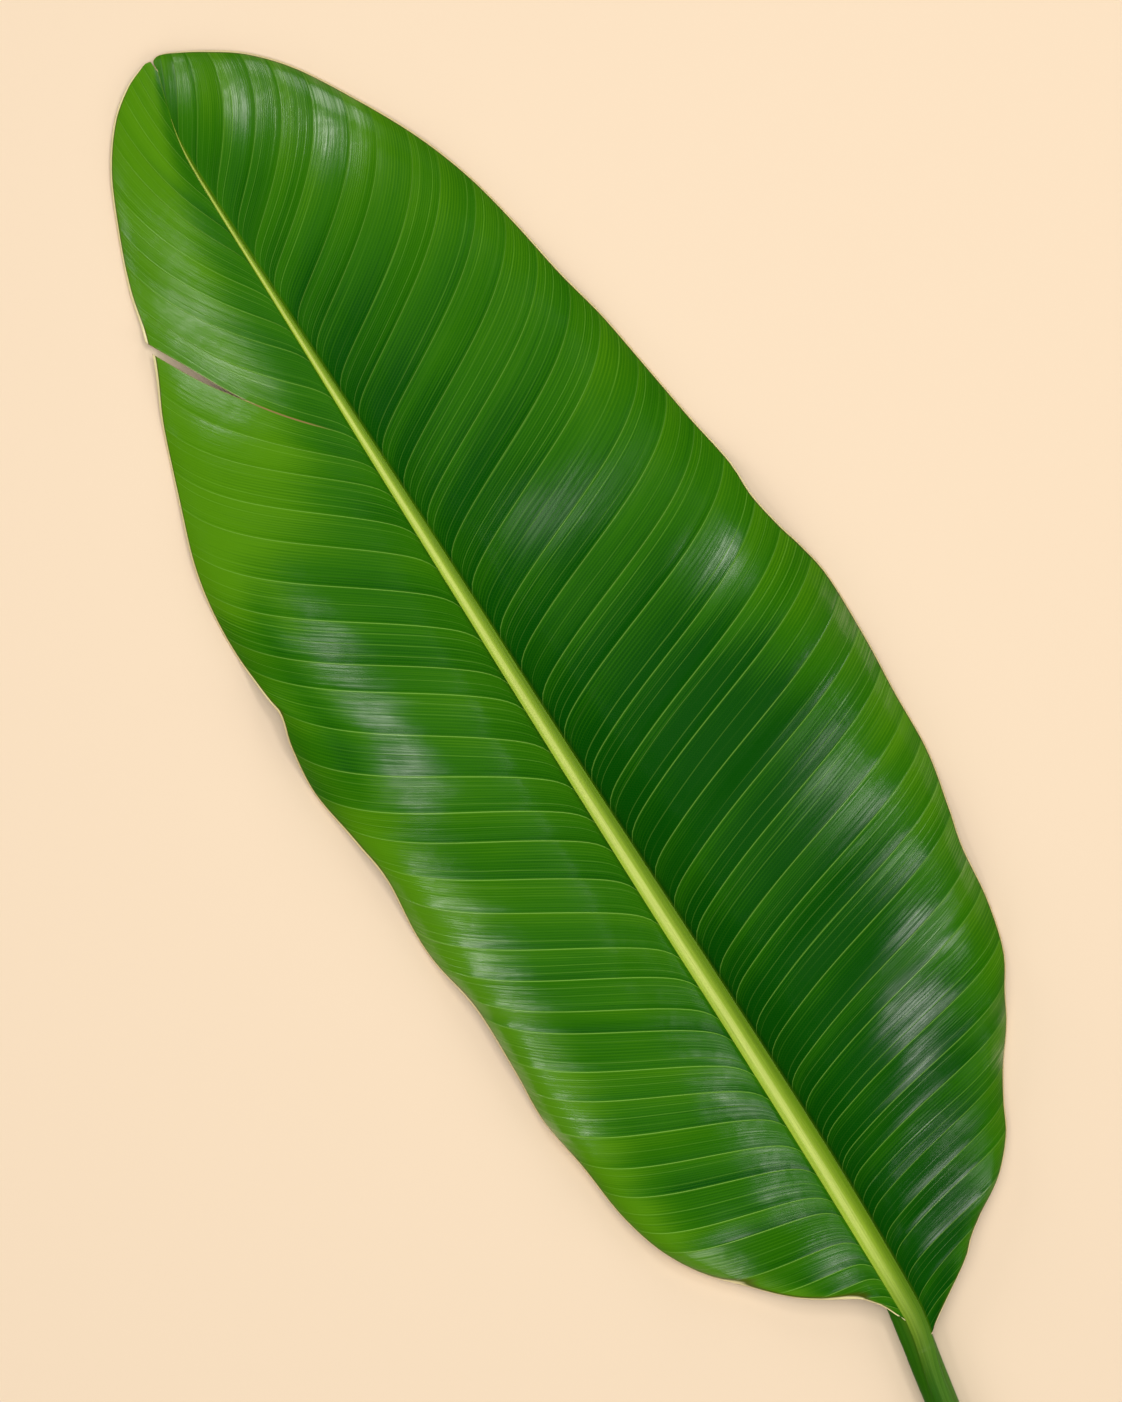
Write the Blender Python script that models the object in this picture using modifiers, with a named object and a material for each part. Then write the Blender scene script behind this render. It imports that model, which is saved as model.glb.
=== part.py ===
"""A giant bird of paradise leaf, cut from its plant and lying face up.

Lengths are in metres. The leaf is drawn with y along it from the base of the blade to the tip, x across
it with the wider half on the plus side, and z up from the surface that it lies on. An empty then moves
it so that the middle of its footprint is at the world's origin.

The blade is a sheet of veins: each vein leaves the midrib, runs out at a slant and meets the margin. A
place on one half of the blade is given by its side (1 is the wider half, -1 the other), by v, how far
along the row of veins it is, and by t, how far out along the vein it is.
"""
import math
import random

import bmesh
import bpy

FOOTPRINT_MIDDLE = (0.0238, 0.3402)

# The stalk below the blade, and the midrib that it runs on as
STALK_START = -0.2200
RIB_END = 0.8500
SLOT_END = 0.8620
STALK_SIDES = 16
STALK_RINGS = 64
STALK_RADIUS = 0.0098
CHANNEL_ROLL = math.radians(6)
SEAT_DROP = 0.0014
RING_PLACES = (
    (0.00, STALK_START), (0.18, -0.0500), (0.34, -0.0100), (0.50, 0.0300), (0.68, 0.1500), (0.92, 0.7200),
    (1.00, RIB_END),
)
STALK_LINE = (
    (-0.2200, -0.0300), (-0.1200, -0.0192), (-0.0364, -0.0070), (0.0000, -0.0009), (0.0300, 0.0026),
    (0.0800, 0.0046), (0.1400, 0.0046), (0.2100, 0.0030),
)
RIB_LINE = (
    (-0.0800, -0.0130), (-0.0550, -0.0092), (-0.0300, -0.0045), (-0.0100, 0.0004), (0.0040, 0.0034),
    (0.0250, 0.0048), (0.1100, 0.0050), (0.2100, 0.0030), (0.3000, 0.0004), (0.4250, -0.0029),
    (0.5200, -0.0047), (0.6100, -0.0065), (0.7300, -0.0092), (0.8100, -0.0110), (0.8450, -0.0103),
    (0.8700, -0.0055), (0.8915, 0.0006),
)
RIB_HALF_WIDTH = (
    (-0.0800, 0.0036), (-0.0550, 0.0041), (-0.0300, 0.0048), (-0.0100, 0.0055), (0.0200, 0.0062),
    (0.0600, 0.0067), (0.1200, 0.0070), (0.2100, 0.0067),
    (0.3000, 0.0063), (0.4250, 0.0053), (0.5200, 0.0046), (0.6100, 0.0037), (0.6700, 0.0028),
    (0.7300, 0.0020), (0.7900, 0.0013), (0.8500, 0.0006), (0.8915, 0.0004),
)
RIB_DEPTH = (
    (-0.2200, 0.0196), (-0.0300, 0.0192), (0.0000, 0.0184), (0.1200, 0.0162), (0.2430, 0.0147),
    (0.3640, 0.0132), (0.4860, 0.0117), (0.6070, 0.0092), (0.7290, 0.0062), (0.8200, 0.0038),
    (0.8600, 0.0024), (0.9000, 0.0020),
)
RIB_UNDERSIDE = (
    (-0.2200, 0.0000), (0.3500, 0.0000), (0.4300, 0.0000), (0.5400, 0.0010), (0.6400, 0.0030),
    (0.7300, 0.0060), (0.7900, 0.0080), (0.8400, 0.0080), (0.9000, 0.0045),
)

# The blade's two margins, from its base to its tip
MARGIN = {
    1: (
        (0.0000, 0.0134), (0.0120, 0.0316), (0.0243, 0.0498), (0.0334, 0.0592), (0.0425, 0.0722),
        (0.0546, 0.0917), (0.0728, 0.1087), (0.0910, 0.1184), (0.1093, 0.1293), (0.1305, 0.1445),
        (0.1487, 0.1536), (0.1700, 0.1657), (0.2003, 0.1730), (0.2367, 0.1760), (0.2610, 0.1815),
        (0.2974, 0.1888), (0.3400, 0.1900), (0.3763, 0.1918), (0.4188, 0.1918), (0.4431, 0.1870),
        (0.4613, 0.1815), (0.4856, 0.1766), (0.5100, 0.1760), (0.5460, 0.1694), (0.5830, 0.1633),
        (0.6250, 0.1560), (0.6616, 0.1470), (0.7040, 0.1390), (0.7405, 0.1300), (0.7770, 0.1160),
        (0.8134, 0.0971), (0.8500, 0.0747), (0.8740, 0.0528), (0.8890, 0.0303), (0.8975, 0.0135),
        (0.9000, 0.0060), (0.8995, 0.0022), (0.8980, 0.0010),
    ),
    -1: (
        (0.0152, -0.0042), (0.0243, -0.0085), (0.0304, -0.0134), (0.0364, -0.0200), (0.0486, -0.0419),
        (0.0607, -0.0583), (0.0789, -0.0771), (0.0971, -0.0941), (0.1214, -0.1080), (0.1518, -0.1171),
        (0.1880, -0.1220), (0.2246, -0.1281), (0.2610, -0.1270), (0.3035, -0.1275), (0.3400, -0.1348),
        (0.3640, -0.1360), (0.4000, -0.1335), (0.4310, -0.1384), (0.4674, -0.1445), (0.4980, -0.1415),
        (0.5180, -0.1366), (0.5340, -0.1390), (0.5645, -0.1420), (0.5950, -0.1408), (0.6250, -0.1354),
        (0.6616, -0.1238), (0.7040, -0.1093), (0.7480, -0.0917), (0.7890, -0.0826), (0.8255, -0.0692),
        (0.8560, -0.0552), (0.8800, -0.0376), (0.8935, -0.0206), (0.8995, -0.0060), (0.9006, -0.0028),
        (0.8996, -0.0003),
    ),
}
# How high each margin waves above the surface, by its y
MARGIN_HEIGHT = {
    1: (
        (0.000, 0.0170), (0.030, 0.0150), (0.060, 0.0080), (0.095, 0.0020), (0.130, 0.0005), (0.155, 0.0050),
        (0.190, 0.0008), (0.240, 0.0090), (0.300, 0.0010), (0.360, 0.0030), (0.420, 0.0005), (0.478, 0.0100),
        (0.540, 0.0020), (0.600, 0.0005), (0.660, 0.0040), (0.720, 0.0005), (0.780, 0.0025), (0.840, 0.0008),
        (0.900, 0.0045),
    ),
    -1: (
        (0.015, 0.0178), (0.030, 0.0168), (0.055, 0.0110), (0.090, 0.0015), (0.150, 0.0030), (0.210, 0.0005),
        (0.285, 0.0080), (0.350, 0.0005), (0.404, 0.0085), (0.465, 0.0005), (0.518, 0.0150), (0.565, 0.0008),
        (0.630, 0.0030), (0.690, 0.0005), (0.748, 0.0050), (0.765, 0.0020), (0.810, 0.0005), (0.860, 0.0020),
        (0.900, 0.0045),
    ),
}
SETTLED_HEIGHT = 0.0020

# The rows of veins: where they leave the midrib, and which share of the margin's length they meet
VEINS = 42
FIRST_ROOT = {1: -0.0050, -1: 0.0100}
LAST_ROOT = 0.8915
ROOT_CROWDING = 1.15
ROOT_BUNCHING = 0.15
ROOT_SHAKE = 0.0035
SHAKE_SEED = {1: 3, -1: 8}
LIFT_SEED = {1: 21, -1: 34}
PLEAT_SEED = {1: 5, -1: 13}
REACH = {
    1: (
        (-0.005, 0.000), (0.018, 0.064), (0.042, 0.110), (0.078, 0.162), (0.146, 0.256), (0.211, 0.337),
        (0.307, 0.444), (0.408, 0.552), (0.517, 0.672), (0.606, 0.768), (0.669, 0.836), (0.738, 0.903),
        (0.782, 0.945), (0.826, 0.978), (0.8915, 1.000),
    ),
    -1: (
        (0.010, 0.000), (0.033, 0.035), (0.064, 0.107), (0.097, 0.176), (0.136, 0.238), (0.183, 0.305),
        (0.266, 0.402), (0.324, 0.463), (0.380, 0.527), (0.458, 0.616), (0.564, 0.726), (0.605, 0.767),
        (0.639, 0.810), (0.684, 0.855), (0.745, 0.922), (0.780, 0.955), (0.825, 0.980), (0.8915, 1.000),
    ),
}
ELBOW = 0.0060
ELBOW_REACH = 0.0045
START_PULL = 0.36
END_PULL = (0.20, 0.32)
# In degrees, by y: how far outside its straight line a vein sets out, and how it stands to the midrib at the
# margin. The torn vein keeps its own ending.
START_TURN = {
    1: ((0.00, -14), (0.20, -12), (0.34, -8), (0.45, -3), (0.55, 1), (0.62, 6), (0.70, 13), (0.78, 18),
        (0.90, 15)),
    -1: ((0.00, -5), (0.20, -5), (0.45, -3), (0.58, 2), (0.64, 12), (0.75, 17), (0.90, 15)),
}
END_ANGLE = {
    1: ((0.00, 72), (0.05, 66), (0.10, 58), (0.20, 53), (0.34, 46), (0.42, 30), (0.50, 17), (0.62, 12),
        (0.75, -5), (0.90, -8)),
    -1: ((0.00, 75), (0.035, 68), (0.055, 57), (0.08, 40), (0.11, 28), (0.15, 23), (0.45, 22), (0.58, 16),
         (0.65, 10), (0.75, 0), (0.90, -8)),
}
TORN_END_ANGLE = 28
TORN_END_PULL = 0.40

# The blade's sheet
BLADE_THICKNESS = 0.0009
BLADE_GAP = 0.0006
GAP_AT_ENDS = 0.0008
ROWS = 11
BAND_PLACES = (0.0, 0.2)
SHEET_DROP = 0.0006
CROWN = (
    (0.00, 0.00), (0.10, 0.43), (0.22, 0.82), (0.40, 1.00), (0.60, 0.97), (0.78, 0.82), (0.90, 0.52),
    (1.00, 0.00),
)
# How high the crown of each half stands, as a share of its width, and how far out, by y
CROWN_SIZE = {
    1: ((0.00, 0.14), (0.12, 0.16), (0.30, 0.15), (0.42, 0.14), (0.52, 0.10), (0.70, 0.10), (0.90, 0.13)),
    -1: ((0.00, 0.13), (0.20, 0.14), (0.45, 0.14), (0.60, 0.11), (0.68, 0.06), (0.75, 0.04), (0.82, 0.06),
         (0.90, 0.10)),
}
CROWN_SKEW = {
    1: ((0.00, 0.80), (0.12, 0.82), (0.25, 0.82), (0.38, 0.84), (0.55, 0.86), (0.70, 0.95), (0.82, 1.15),
        (0.90, 1.25)),
    -1: ((0.00, 1.20), (0.12, 1.30), (0.24, 1.28), (0.33, 1.00), (0.45, 0.90), (0.60, 0.95), (0.75, 1.20),
         (0.90, 1.20)),
}
PLEAT_SHARE = 0.044
PLEAT_FOLD = 0.20
PLEAT_CURVE = 1.6
PLEAT_VARIETY = 0.6
VEIN_LIFT = 0.0016
FULL_LIFT_VEIN = 0.100

# The tear in the narrower half
TEAR_VEIN = 31
TEAR_ROOT = 0.6390
TEAR_START = 0.45
TEAR_GAP = 0.0080
TEAR_SPREAD = 1.5


def curve_through(points, steps=12):
    """A smooth curve through the points, and the length run at each place of it."""
    before = tuple(2 * a - b for a, b in zip(points[0], points[1]))
    after = tuple(2 * a - b for a, b in zip(points[-1], points[-2]))
    ends = [before, *points, after]
    line = []
    for i in range(1, len(ends) - 2):
        for step in range(steps):
            f = step / steps
            line.append(tuple(
                b + 0.5 * f * (c - a + f * (2 * a - 5 * b + 4 * c - d + f * (3 * b - a - 3 * c + d)))
                for a, b, c, d in zip(*ends[i - 1:i + 3])
            ))
    line.append(tuple(points[-1]))
    run = [0.0]
    for a, b in zip(line, line[1:]):
        run.append(run[-1] + math.dist(a, b))
    return line, run


def read_off(places, values, place):
    """The value at a place, straight between the two nearest."""
    if place <= places[0]:
        return values[0]
    if place >= places[-1]:
        return values[-1]
    low = 0
    high = len(places) - 1
    while high - low > 1:
        middle = (low + high) // 2
        if places[middle] <= place:
            low = middle
        else:
            high = middle
    f = (place - places[low]) / (places[high] - places[low])
    return tuple(a + (b - a) * f for a, b in zip(values[low], values[high]))


def profile(points):
    """A function that reads the second number of the points off for the first."""
    line, _ = curve_through(points)
    places = [point[0] for point in line]
    values = [point[1:] for point in line]
    return lambda place: read_off(places, values, place)[0]


def smooth(low, high, value):
    """0 below low, 1 above high, and an even rise between them."""
    f = min(1.0, max(0.0, (value - low) / (high - low)))
    return f * f * (3 - 2 * f)


def mix(a, b, share):
    return a + (b - a) * share


ring_place = profile(RING_PLACES)
stalk_x = profile(STALK_LINE)
rib_x = profile(RIB_LINE)
rib_half_width = profile(RIB_HALF_WIDTH)
rib_depth = profile(RIB_DEPTH)
crown_share = profile(CROWN)
crown_size = {side: profile(CROWN_SIZE[side]) for side in CROWN_SIZE}
crown_skew = {side: profile(CROWN_SKEW[side]) for side in CROWN_SKEW}
reach_share = {side: profile(REACH[side]) for side in REACH}
start_turn = {side: profile(START_TURN[side]) for side in START_TURN}
end_angle = {side: profile(END_ANGLE[side]) for side in END_ANGLE}
margin_height = {side: profile(MARGIN_HEIGHT[side]) for side in MARGIN_HEIGHT}
margin_line = {side: curve_through(MARGIN[side]) for side in MARGIN}
underside_line = profile(RIB_UNDERSIDE)


def rib_underside(y):
    return max(0.0, underside_line(y))


def draws(seed):
    """One random number from -1 to 1 for each vein, the same each time."""
    generator = random.Random(seed)
    return [generator.uniform(-1, 1) for _ in range(VEINS + 1)]


root_shake = {side: draws(SHAKE_SEED[side]) for side in SHAKE_SEED}
vein_lift = {side: draws(LIFT_SEED[side]) for side in LIFT_SEED}
pleat_size = {side: [1 + PLEAT_VARIETY * draw for draw in draws(PLEAT_SEED[side])] for side in PLEAT_SEED}


def between_veins(values, v):
    """A vein's own value at the vein, and an even change from it to the next vein's."""
    place = v * VEINS
    vein = min(int(place), VEINS - 1)
    return mix(values[vein], values[vein + 1], smooth(0, 1, place - vein))


def even_root(side, v):
    crowded = v ** ROOT_CROWDING
    even = crowded - ROOT_BUNCHING * math.sin(2 * math.pi * crowded) / (2 * math.pi)
    return LAST_ROOT * even + FIRST_ROOT[side] * (1 - v) ** 8


def beside_tear(side, v):
    """1 at the torn vein, and 0 from two veins away."""
    return 0.0 if side > 0 else max(0.0, 1 - abs(v * VEINS - TEAR_VEIN) / 2)


def root_y(side, v):
    """Where along the midrib a vein turns outward."""
    steady = min(1.0, 8 * v) * min(1.0, max(0.0, 8 * (0.95 - v)))
    y = even_root(side, v) + ROOT_SHAKE * steady * between_veins(root_shake[side], v)
    return y + beside_tear(side, v) * (TEAR_ROOT - even_root(side, TEAR_VEIN / VEINS))


def band_width(side, v):
    """About how far apart two neighbouring veins leave the midrib."""
    half = 0.5 / VEINS
    return even_root(side, min(1.0, v + half)) - even_root(side, max(0.0, v - half))


def rib_edge(side, y):
    """The x of the slot's edge, or the x where the halves join once the rib has ended."""
    if y > SLOT_END:
        return rib_x(y)
    gap = mix(GAP_AT_ENDS, BLADE_GAP, smooth(0.02, 0.05, y) * (1 - smooth(0.80, 0.84, y)))
    return rib_x(y) + side * (rib_half_width(y) + gap)


def margin_point(side, share):
    line, run = margin_line[side]
    return read_off(run, line, min(1.0, max(0.0, share)) * run[-1])


def vein_ends(side, v):
    """The vein's knee beside the midrib, and its end on the margin."""
    y = root_y(side, v)
    return (y, rib_edge(side, y)), margin_point(side, reach_share[side](y))


def vein_headings(side, v):
    """The directions, along and across the leaf, in which a vein sets out and meets the margin."""
    knee, end = vein_ends(side, v)
    steady = min(1.0, 10 * (1 - v))
    straight = math.atan2(side * (end[1] - knee[1]), end[0] - knee[0])
    first = straight + steady * math.radians(start_turn[side](knee[0]))
    last = math.radians(mix(end_angle[side](knee[0]), TORN_END_ANGLE, beside_tear(side, v)))
    return (math.cos(first), side * math.sin(first)), (math.cos(last), side * math.sin(last))


def vein_place(side, v, t):
    """The place on the plan, as y and x, at t along a vein."""
    knee, end = vein_ends(side, v)
    first, last = vein_headings(side, v)
    length = math.dist(knee, end)
    hook = mix(mix(*END_PULL, v), TORN_END_PULL, beside_tear(side, v)) * min(1.0, 10 * (1 - v))
    elbow = ELBOW * min(1.0, 12 * v, 8 * (1 - v))
    sink = rib_edge(side, knee[0] - elbow) - knee[1]
    place = []
    for axis in (0, 1):
        a = knee[axis]
        b = a + first[axis] * length * START_PULL
        d = end[axis]
        c = d - last[axis] * length * hook
        s = 1 - t
        place.append(s ** 3 * a + 3 * s * s * t * b + 3 * s * t * t * c + t ** 3 * d)
    fade = math.exp(-t * length / ELBOW_REACH) * (1 - t)
    return place[0] - elbow * fade, place[1] + sink * fade


def pleat_height(side, v):
    """Each vein is a crest: the blade drops just past it, and rises slowly to the next one."""
    place = v * VEINS
    vein = min(int(place), VEINS - 1)
    band = place - vein
    size = PLEAT_SHARE * band_width(side, v)
    passed = pleat_size[side][vein] * (1 - smooth(0, PLEAT_FOLD, band))
    coming = pleat_size[side][vein + 1] * max(0.0, (band - PLEAT_FOLD) / (1 - PLEAT_FOLD)) ** PLEAT_CURVE
    return size * (passed + coming)


def sheet_height(side, v, t):
    """The height of the middle of the blade's thickness."""
    root = vein_place(side, v, 0)
    end = vein_place(side, v, 1)
    y = vein_place(side, v, t)[0]
    rib = rib_underside(root[0]) + rib_depth(root[0]) - SHEET_DROP
    crown = crown_size[side](y) * abs(end[1] - root[1]) * crown_share(t ** crown_skew[side](y))
    margin = margin_height[side](end[0])
    settled = mix(margin, SETTLED_HEIGHT, smooth(0.03, 0.12, end[0]))
    wave = (margin - settled) * t ** 3
    pleat = pleat_height(side, v) * min(1.0, 10 * t) * min(1.0, 5 * (1 - t))
    size = min(1.0, math.dist(root, end) / FULL_LIFT_VEIN)
    lift = VEIN_LIFT * size * between_veins(vein_lift[side], v) * 4 * t * (1 - t)
    height = mix(rib, settled, t) + crown + wave + pleat + lift
    return max(height, BLADE_THICKNESS / 2)


def tear_shift(v, t, lip):
    """How far the blade beside the tear is drawn along the leaf, by a lip of 1 above it or -1 below."""
    nearness = max(0.0, 1 - abs(v * VEINS - TEAR_VEIN) / TEAR_SPREAD)
    return lip * nearness * TEAR_GAP / 2 * max(0.0, (t - TEAR_START) / (1 - TEAR_START))


def new_object(name, bm, leaf, collection, material):
    mesh = bpy.data.meshes.new(name)
    bm.to_mesh(mesh)
    bm.free()
    mesh.materials.append(material)
    piece = bpy.data.objects.new(name, mesh)
    piece.parent = leaf
    collection.objects.link(piece)
    return piece


def plain_material(name, colour, roughness):
    material = bpy.data.materials.new(name)
    material.use_nodes = True
    shader = material.node_tree.nodes["Principled BSDF"]
    shader.inputs["Base Color"].default_value = (*colour, 1)
    shader.inputs["Roughness"].default_value = roughness
    shader.inputs["Metallic"].default_value = 0
    material.diffuse_color = (*colour, 1)
    return material


# The blade's mesh: a flat grid, with the same few columns in each band, bent into the leaf
COLUMNS = VEINS * len(BAND_PLACES)
TEAR_COLUMN = TEAR_VEIN * len(BAND_PLACES)


def grid_row(vert):
    return round((vert.co.x + 0.5) * (2 * ROWS + 1))


def grid_column(vert):
    return round((vert.co.y + 0.5) * COLUMNS)


def column_v(column):
    band, place = divmod(column, len(BAND_PLACES))
    return (band + BAND_PLACES[place]) / VEINS


def open_slot(bm):
    """Takes out the strip of faces where the rib lies."""
    slot = []
    for face in bm.faces:
        rows = sorted({grid_row(vert) for vert in face.verts})
        column = min(grid_column(vert) for vert in face.verts)
        if rows == [ROWS, ROWS + 1] and vein_place(1, column_v(column), 0)[0] < SLOT_END:
            slot.append(face)
    bmesh.ops.delete(bm, geom=slot, context="FACES")


def open_tear(bm):
    """Splits the narrower half along one vein, from the margin inward."""
    torn = []
    for edge in bm.edges:
        along_vein = all(grid_column(vert) == TEAR_COLUMN for vert in edge.verts)
        outside = all(1 - grid_row(vert) / ROWS > TEAR_START - 0.5 / ROWS for vert in edge.verts)
        if along_vein and outside:
            torn.append(edge)
    bmesh.ops.split_edges(bm, edges=torn)


def lip_of(vert):
    """1 for a vertex of the narrower half above the tear, -1 for one below it, and 0 for any other."""
    if grid_row(vert) >= ROWS:
        return 0
    column = grid_column(vert)
    if column != TEAR_COLUMN:
        return 1 if column > TEAR_COLUMN else -1
    sides = {1 if face.calc_center_median().y > vert.co.y else -1 for face in vert.link_faces}
    return sides.pop() if len(sides) == 1 else 0


def bend_sheet(bm):
    """Moves each vertex of the flat grid to its place on the blade."""
    lips = {vert: lip_of(vert) for vert in bm.verts}
    for vert, lip in lips.items():
        row = grid_row(vert)
        v = column_v(grid_column(vert))
        side = -1 if row <= ROWS else 1
        t = 1 - row / ROWS if side < 0 else (row - ROWS - 1) / ROWS
        y, x = vein_place(side, v, t)
        vert.co = (x, y + tear_shift(v, t, lip), sheet_height(side, v, t))


def add_blade(leaf, collection):
    bm = bmesh.new()
    bmesh.ops.create_grid(bm, x_segments=2 * ROWS + 1, y_segments=COLUMNS, size=0.5)
    open_slot(bm)
    open_tear(bm)
    bend_sheet(bm)
    bmesh.ops.remove_doubles(bm, verts=bm.verts, dist=0.00001)
    bmesh.ops.triangulate(bm, faces=bm.faces)
    green = plain_material("blade_green", (0.016, 0.118, 0.003), 0.34)
    blade = new_object("blade", bm, leaf, collection, green)
    thicken = blade.modifiers.new("thickness", "SOLIDIFY")
    thicken.thickness = BLADE_THICKNESS
    thicken.offset = 0
    return blade


def stalk_corner(corner, y):
    """A corner of the round stalk's outline, counted from its channel toward plus x."""
    side = 1 if corner > 0 else -1
    angles = (0, 12, 26, 48, 76, 104, 132, 158, 180)
    radii = (0.83, 0.88, 0.98, 1.00, 1.00, 1.00, 1.00, 1.00, 1.00)
    place = abs(corner)
    angle = math.radians(angles[place])
    roll = CHANNEL_ROLL * math.cos(angle / 2) ** 2
    radius = STALK_RADIUS * radii[place]
    x = stalk_x(y) + radius * math.sin(side * angle + roll)
    z = STALK_RADIUS + radius * math.cos(side * angle + roll)
    if place >= 7:
        z = 0.0
    return x, z


def rib_corner(corner, y):
    """A corner of the midrib's outline: a channelled band above, a seat for the blade, and a keel."""
    side = 1 if corner > 0 else -1
    half = rib_half_width(y)
    depth = rib_depth(y)
    dip = mix(0.0011, -0.0003, smooth(0.0, 0.8, y))
    keel_half = mix(STALK_RADIUS, 1.25 * half, smooth(0.0, 0.09, y))
    middle = mix(stalk_x(y), rib_x(y), smooth(0.0, 0.21, y))
    seat = depth - min(SEAT_DROP, 0.6 * depth)
    band = (
        (0.0, depth - dip), (0.5 * half, depth - 0.6 * dip), (half, depth), (half, seat),
    )
    keel = (
        (0.98 * keel_half, 0.80 * seat), (1.00 * keel_half, 0.50 * seat), (0.82 * keel_half, 0.18 * seat),
        (0.42 * keel_half, 0.0), (0.0, 0.0),
    )
    place = abs(corner)
    if place < len(band):
        return rib_x(y) + side * band[place][0], band[place][1]
    across, height = keel[place - len(band)]
    return middle + side * across, height


def outline_corner(corner, y):
    """The stalk's outline turns into the midrib's just below the blade."""
    share = smooth(-0.060, -0.006, y)
    stalk = stalk_corner(corner, y)
    rib = rib_corner(corner, y)
    x = mix(stalk[0], rib[0], share)
    z = mix(stalk[1], rib[1], share)
    return x, rib_underside(y) + z


def stalk_tube():
    """A tube along z, one unit long, with a ring of vertices for each ring of the stalk."""
    bm = bmesh.new()
    bmesh.ops.create_cone(
        bm, cap_ends=True, segments=STALK_SIDES, radius1=1, radius2=1, depth=1
    )
    lengthwise = [edge for edge in bm.edges if abs(edge.verts[0].co.z - edge.verts[1].co.z) > 0.5]
    bmesh.ops.subdivide_edges(bm, edges=lengthwise, cuts=STALK_RINGS - 1)
    return bm


def add_stalk_and_midrib(leaf, collection):
    bm = stalk_tube()
    for vert in bm.verts:
        turn = math.atan2(vert.co.x, vert.co.y)
        corner = round(turn / (2 * math.pi) * STALK_SIDES)
        y = ring_place(0.5 - vert.co.z)
        x, z = outline_corner(corner, y)
        vert.co = (x, y, z)
    bmesh.ops.recalc_face_normals(bm, faces=bm.faces)
    yellow_green = plain_material("midrib_yellow_green", (0.230, 0.340, 0.020), 0.40)
    return new_object("stalk_and_midrib", bm, leaf, collection, yellow_green)


def main():
    for old in list(bpy.data.objects):
        bpy.data.objects.remove(old, do_unlink=True)
    collection = bpy.data.collections.new("giant_bird_of_paradise_leaf")
    bpy.context.scene.collection.children.link(collection)
    leaf = bpy.data.objects.new("leaf", None)
    leaf.location = (-FOOTPRINT_MIDDLE[0], -FOOTPRINT_MIDDLE[1], 0)
    collection.objects.link(leaf)
    add_blade(leaf, collection)
    add_stalk_and_midrib(leaf, collection)


main()
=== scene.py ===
"""Looks of the giant bird of paradise leaf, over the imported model.

The leaf's numbers are the model's own, in metres, with y from the base of the blade to the tip, x over the
wider half and z up. SHIFT moves a finished piece to the model's origin, the middle of the footprint.

A place on the blade is given by its side (1 is the wider half, -1 the other), by v, how far along the row
of veins it is, and by t, how far out along its vein it is.
"""
import functools
import math
import random

import bmesh
import bpy
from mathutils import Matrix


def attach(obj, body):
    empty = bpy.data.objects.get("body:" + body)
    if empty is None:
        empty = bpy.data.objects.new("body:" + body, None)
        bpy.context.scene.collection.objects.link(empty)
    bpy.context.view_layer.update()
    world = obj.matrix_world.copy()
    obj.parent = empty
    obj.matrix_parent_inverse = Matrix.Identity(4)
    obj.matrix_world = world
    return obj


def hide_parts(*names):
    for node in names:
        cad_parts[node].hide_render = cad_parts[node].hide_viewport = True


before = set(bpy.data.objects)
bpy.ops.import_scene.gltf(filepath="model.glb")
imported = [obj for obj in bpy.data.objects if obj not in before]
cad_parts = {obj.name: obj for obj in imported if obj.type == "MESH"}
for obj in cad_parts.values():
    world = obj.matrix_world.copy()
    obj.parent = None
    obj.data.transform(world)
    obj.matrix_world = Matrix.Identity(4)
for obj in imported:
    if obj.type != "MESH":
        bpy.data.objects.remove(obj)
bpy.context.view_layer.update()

SHIFT = (-0.0238, -0.3402, 0.0)

# The stalk and the midrib
STALK_START = -0.2200
RIB_END = 0.8620
SLOT_END = 0.8450
STALK_SIDES = 96
STALK_RINGS = 300
OUTLINE_CORNERS = 16
STALK_RADIUS = 0.0098
CHANNEL_ROLL = math.radians(6)
SEAT_DROP = 0.0014
RING_PLACES = (
    (0.00, STALK_START), (0.18, -0.0500), (0.34, -0.0100), (0.50, 0.0300), (0.68, 0.1500), (0.92, 0.7200),
    (1.00, RIB_END),
)
STALK_LINE = (
    (-0.2200, -0.0300), (-0.1200, -0.0192), (-0.0364, -0.0070), (0.0000, -0.0009), (0.0300, 0.0026),
    (0.0800, 0.0046), (0.1400, 0.0046), (0.2100, 0.0030),
)
RIB_LINE = (
    (-0.0800, -0.0130), (-0.0550, -0.0092), (-0.0300, -0.0045), (-0.0100, 0.0004), (0.0040, 0.0034),
    (0.0250, 0.0048), (0.1100, 0.0050), (0.2100, 0.0030), (0.3000, 0.0004), (0.4250, -0.0029),
    (0.5200, -0.0047), (0.6100, -0.0065), (0.7300, -0.0092), (0.8100, -0.0110), (0.8450, -0.0103),
    (0.8700, -0.0055), (0.8915, 0.0006),
)
RIB_HALF_WIDTH = (
    (-0.0800, 0.0036), (-0.0550, 0.0041), (-0.0300, 0.0048), (-0.0100, 0.0055), (0.0200, 0.0062),
    (0.0600, 0.0067), (0.1200, 0.0070), (0.2100, 0.0067),
    (0.3000, 0.0063), (0.4250, 0.0053), (0.5200, 0.0046), (0.6100, 0.0037), (0.6700, 0.0028),
    (0.7300, 0.0020), (0.7900, 0.0013), (0.8300, 0.0008), (0.8600, 0.0002), (0.8915, 0.0002),
)
RIB_DEPTH = (
    (-0.2200, 0.0196), (-0.0300, 0.0192), (0.0000, 0.0184), (0.1200, 0.0162), (0.2430, 0.0147),
    (0.3640, 0.0132), (0.4860, 0.0117), (0.6070, 0.0092), (0.7290, 0.0062), (0.8200, 0.0038),
    (0.8600, 0.0024), (0.9000, 0.0020),
)
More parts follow.
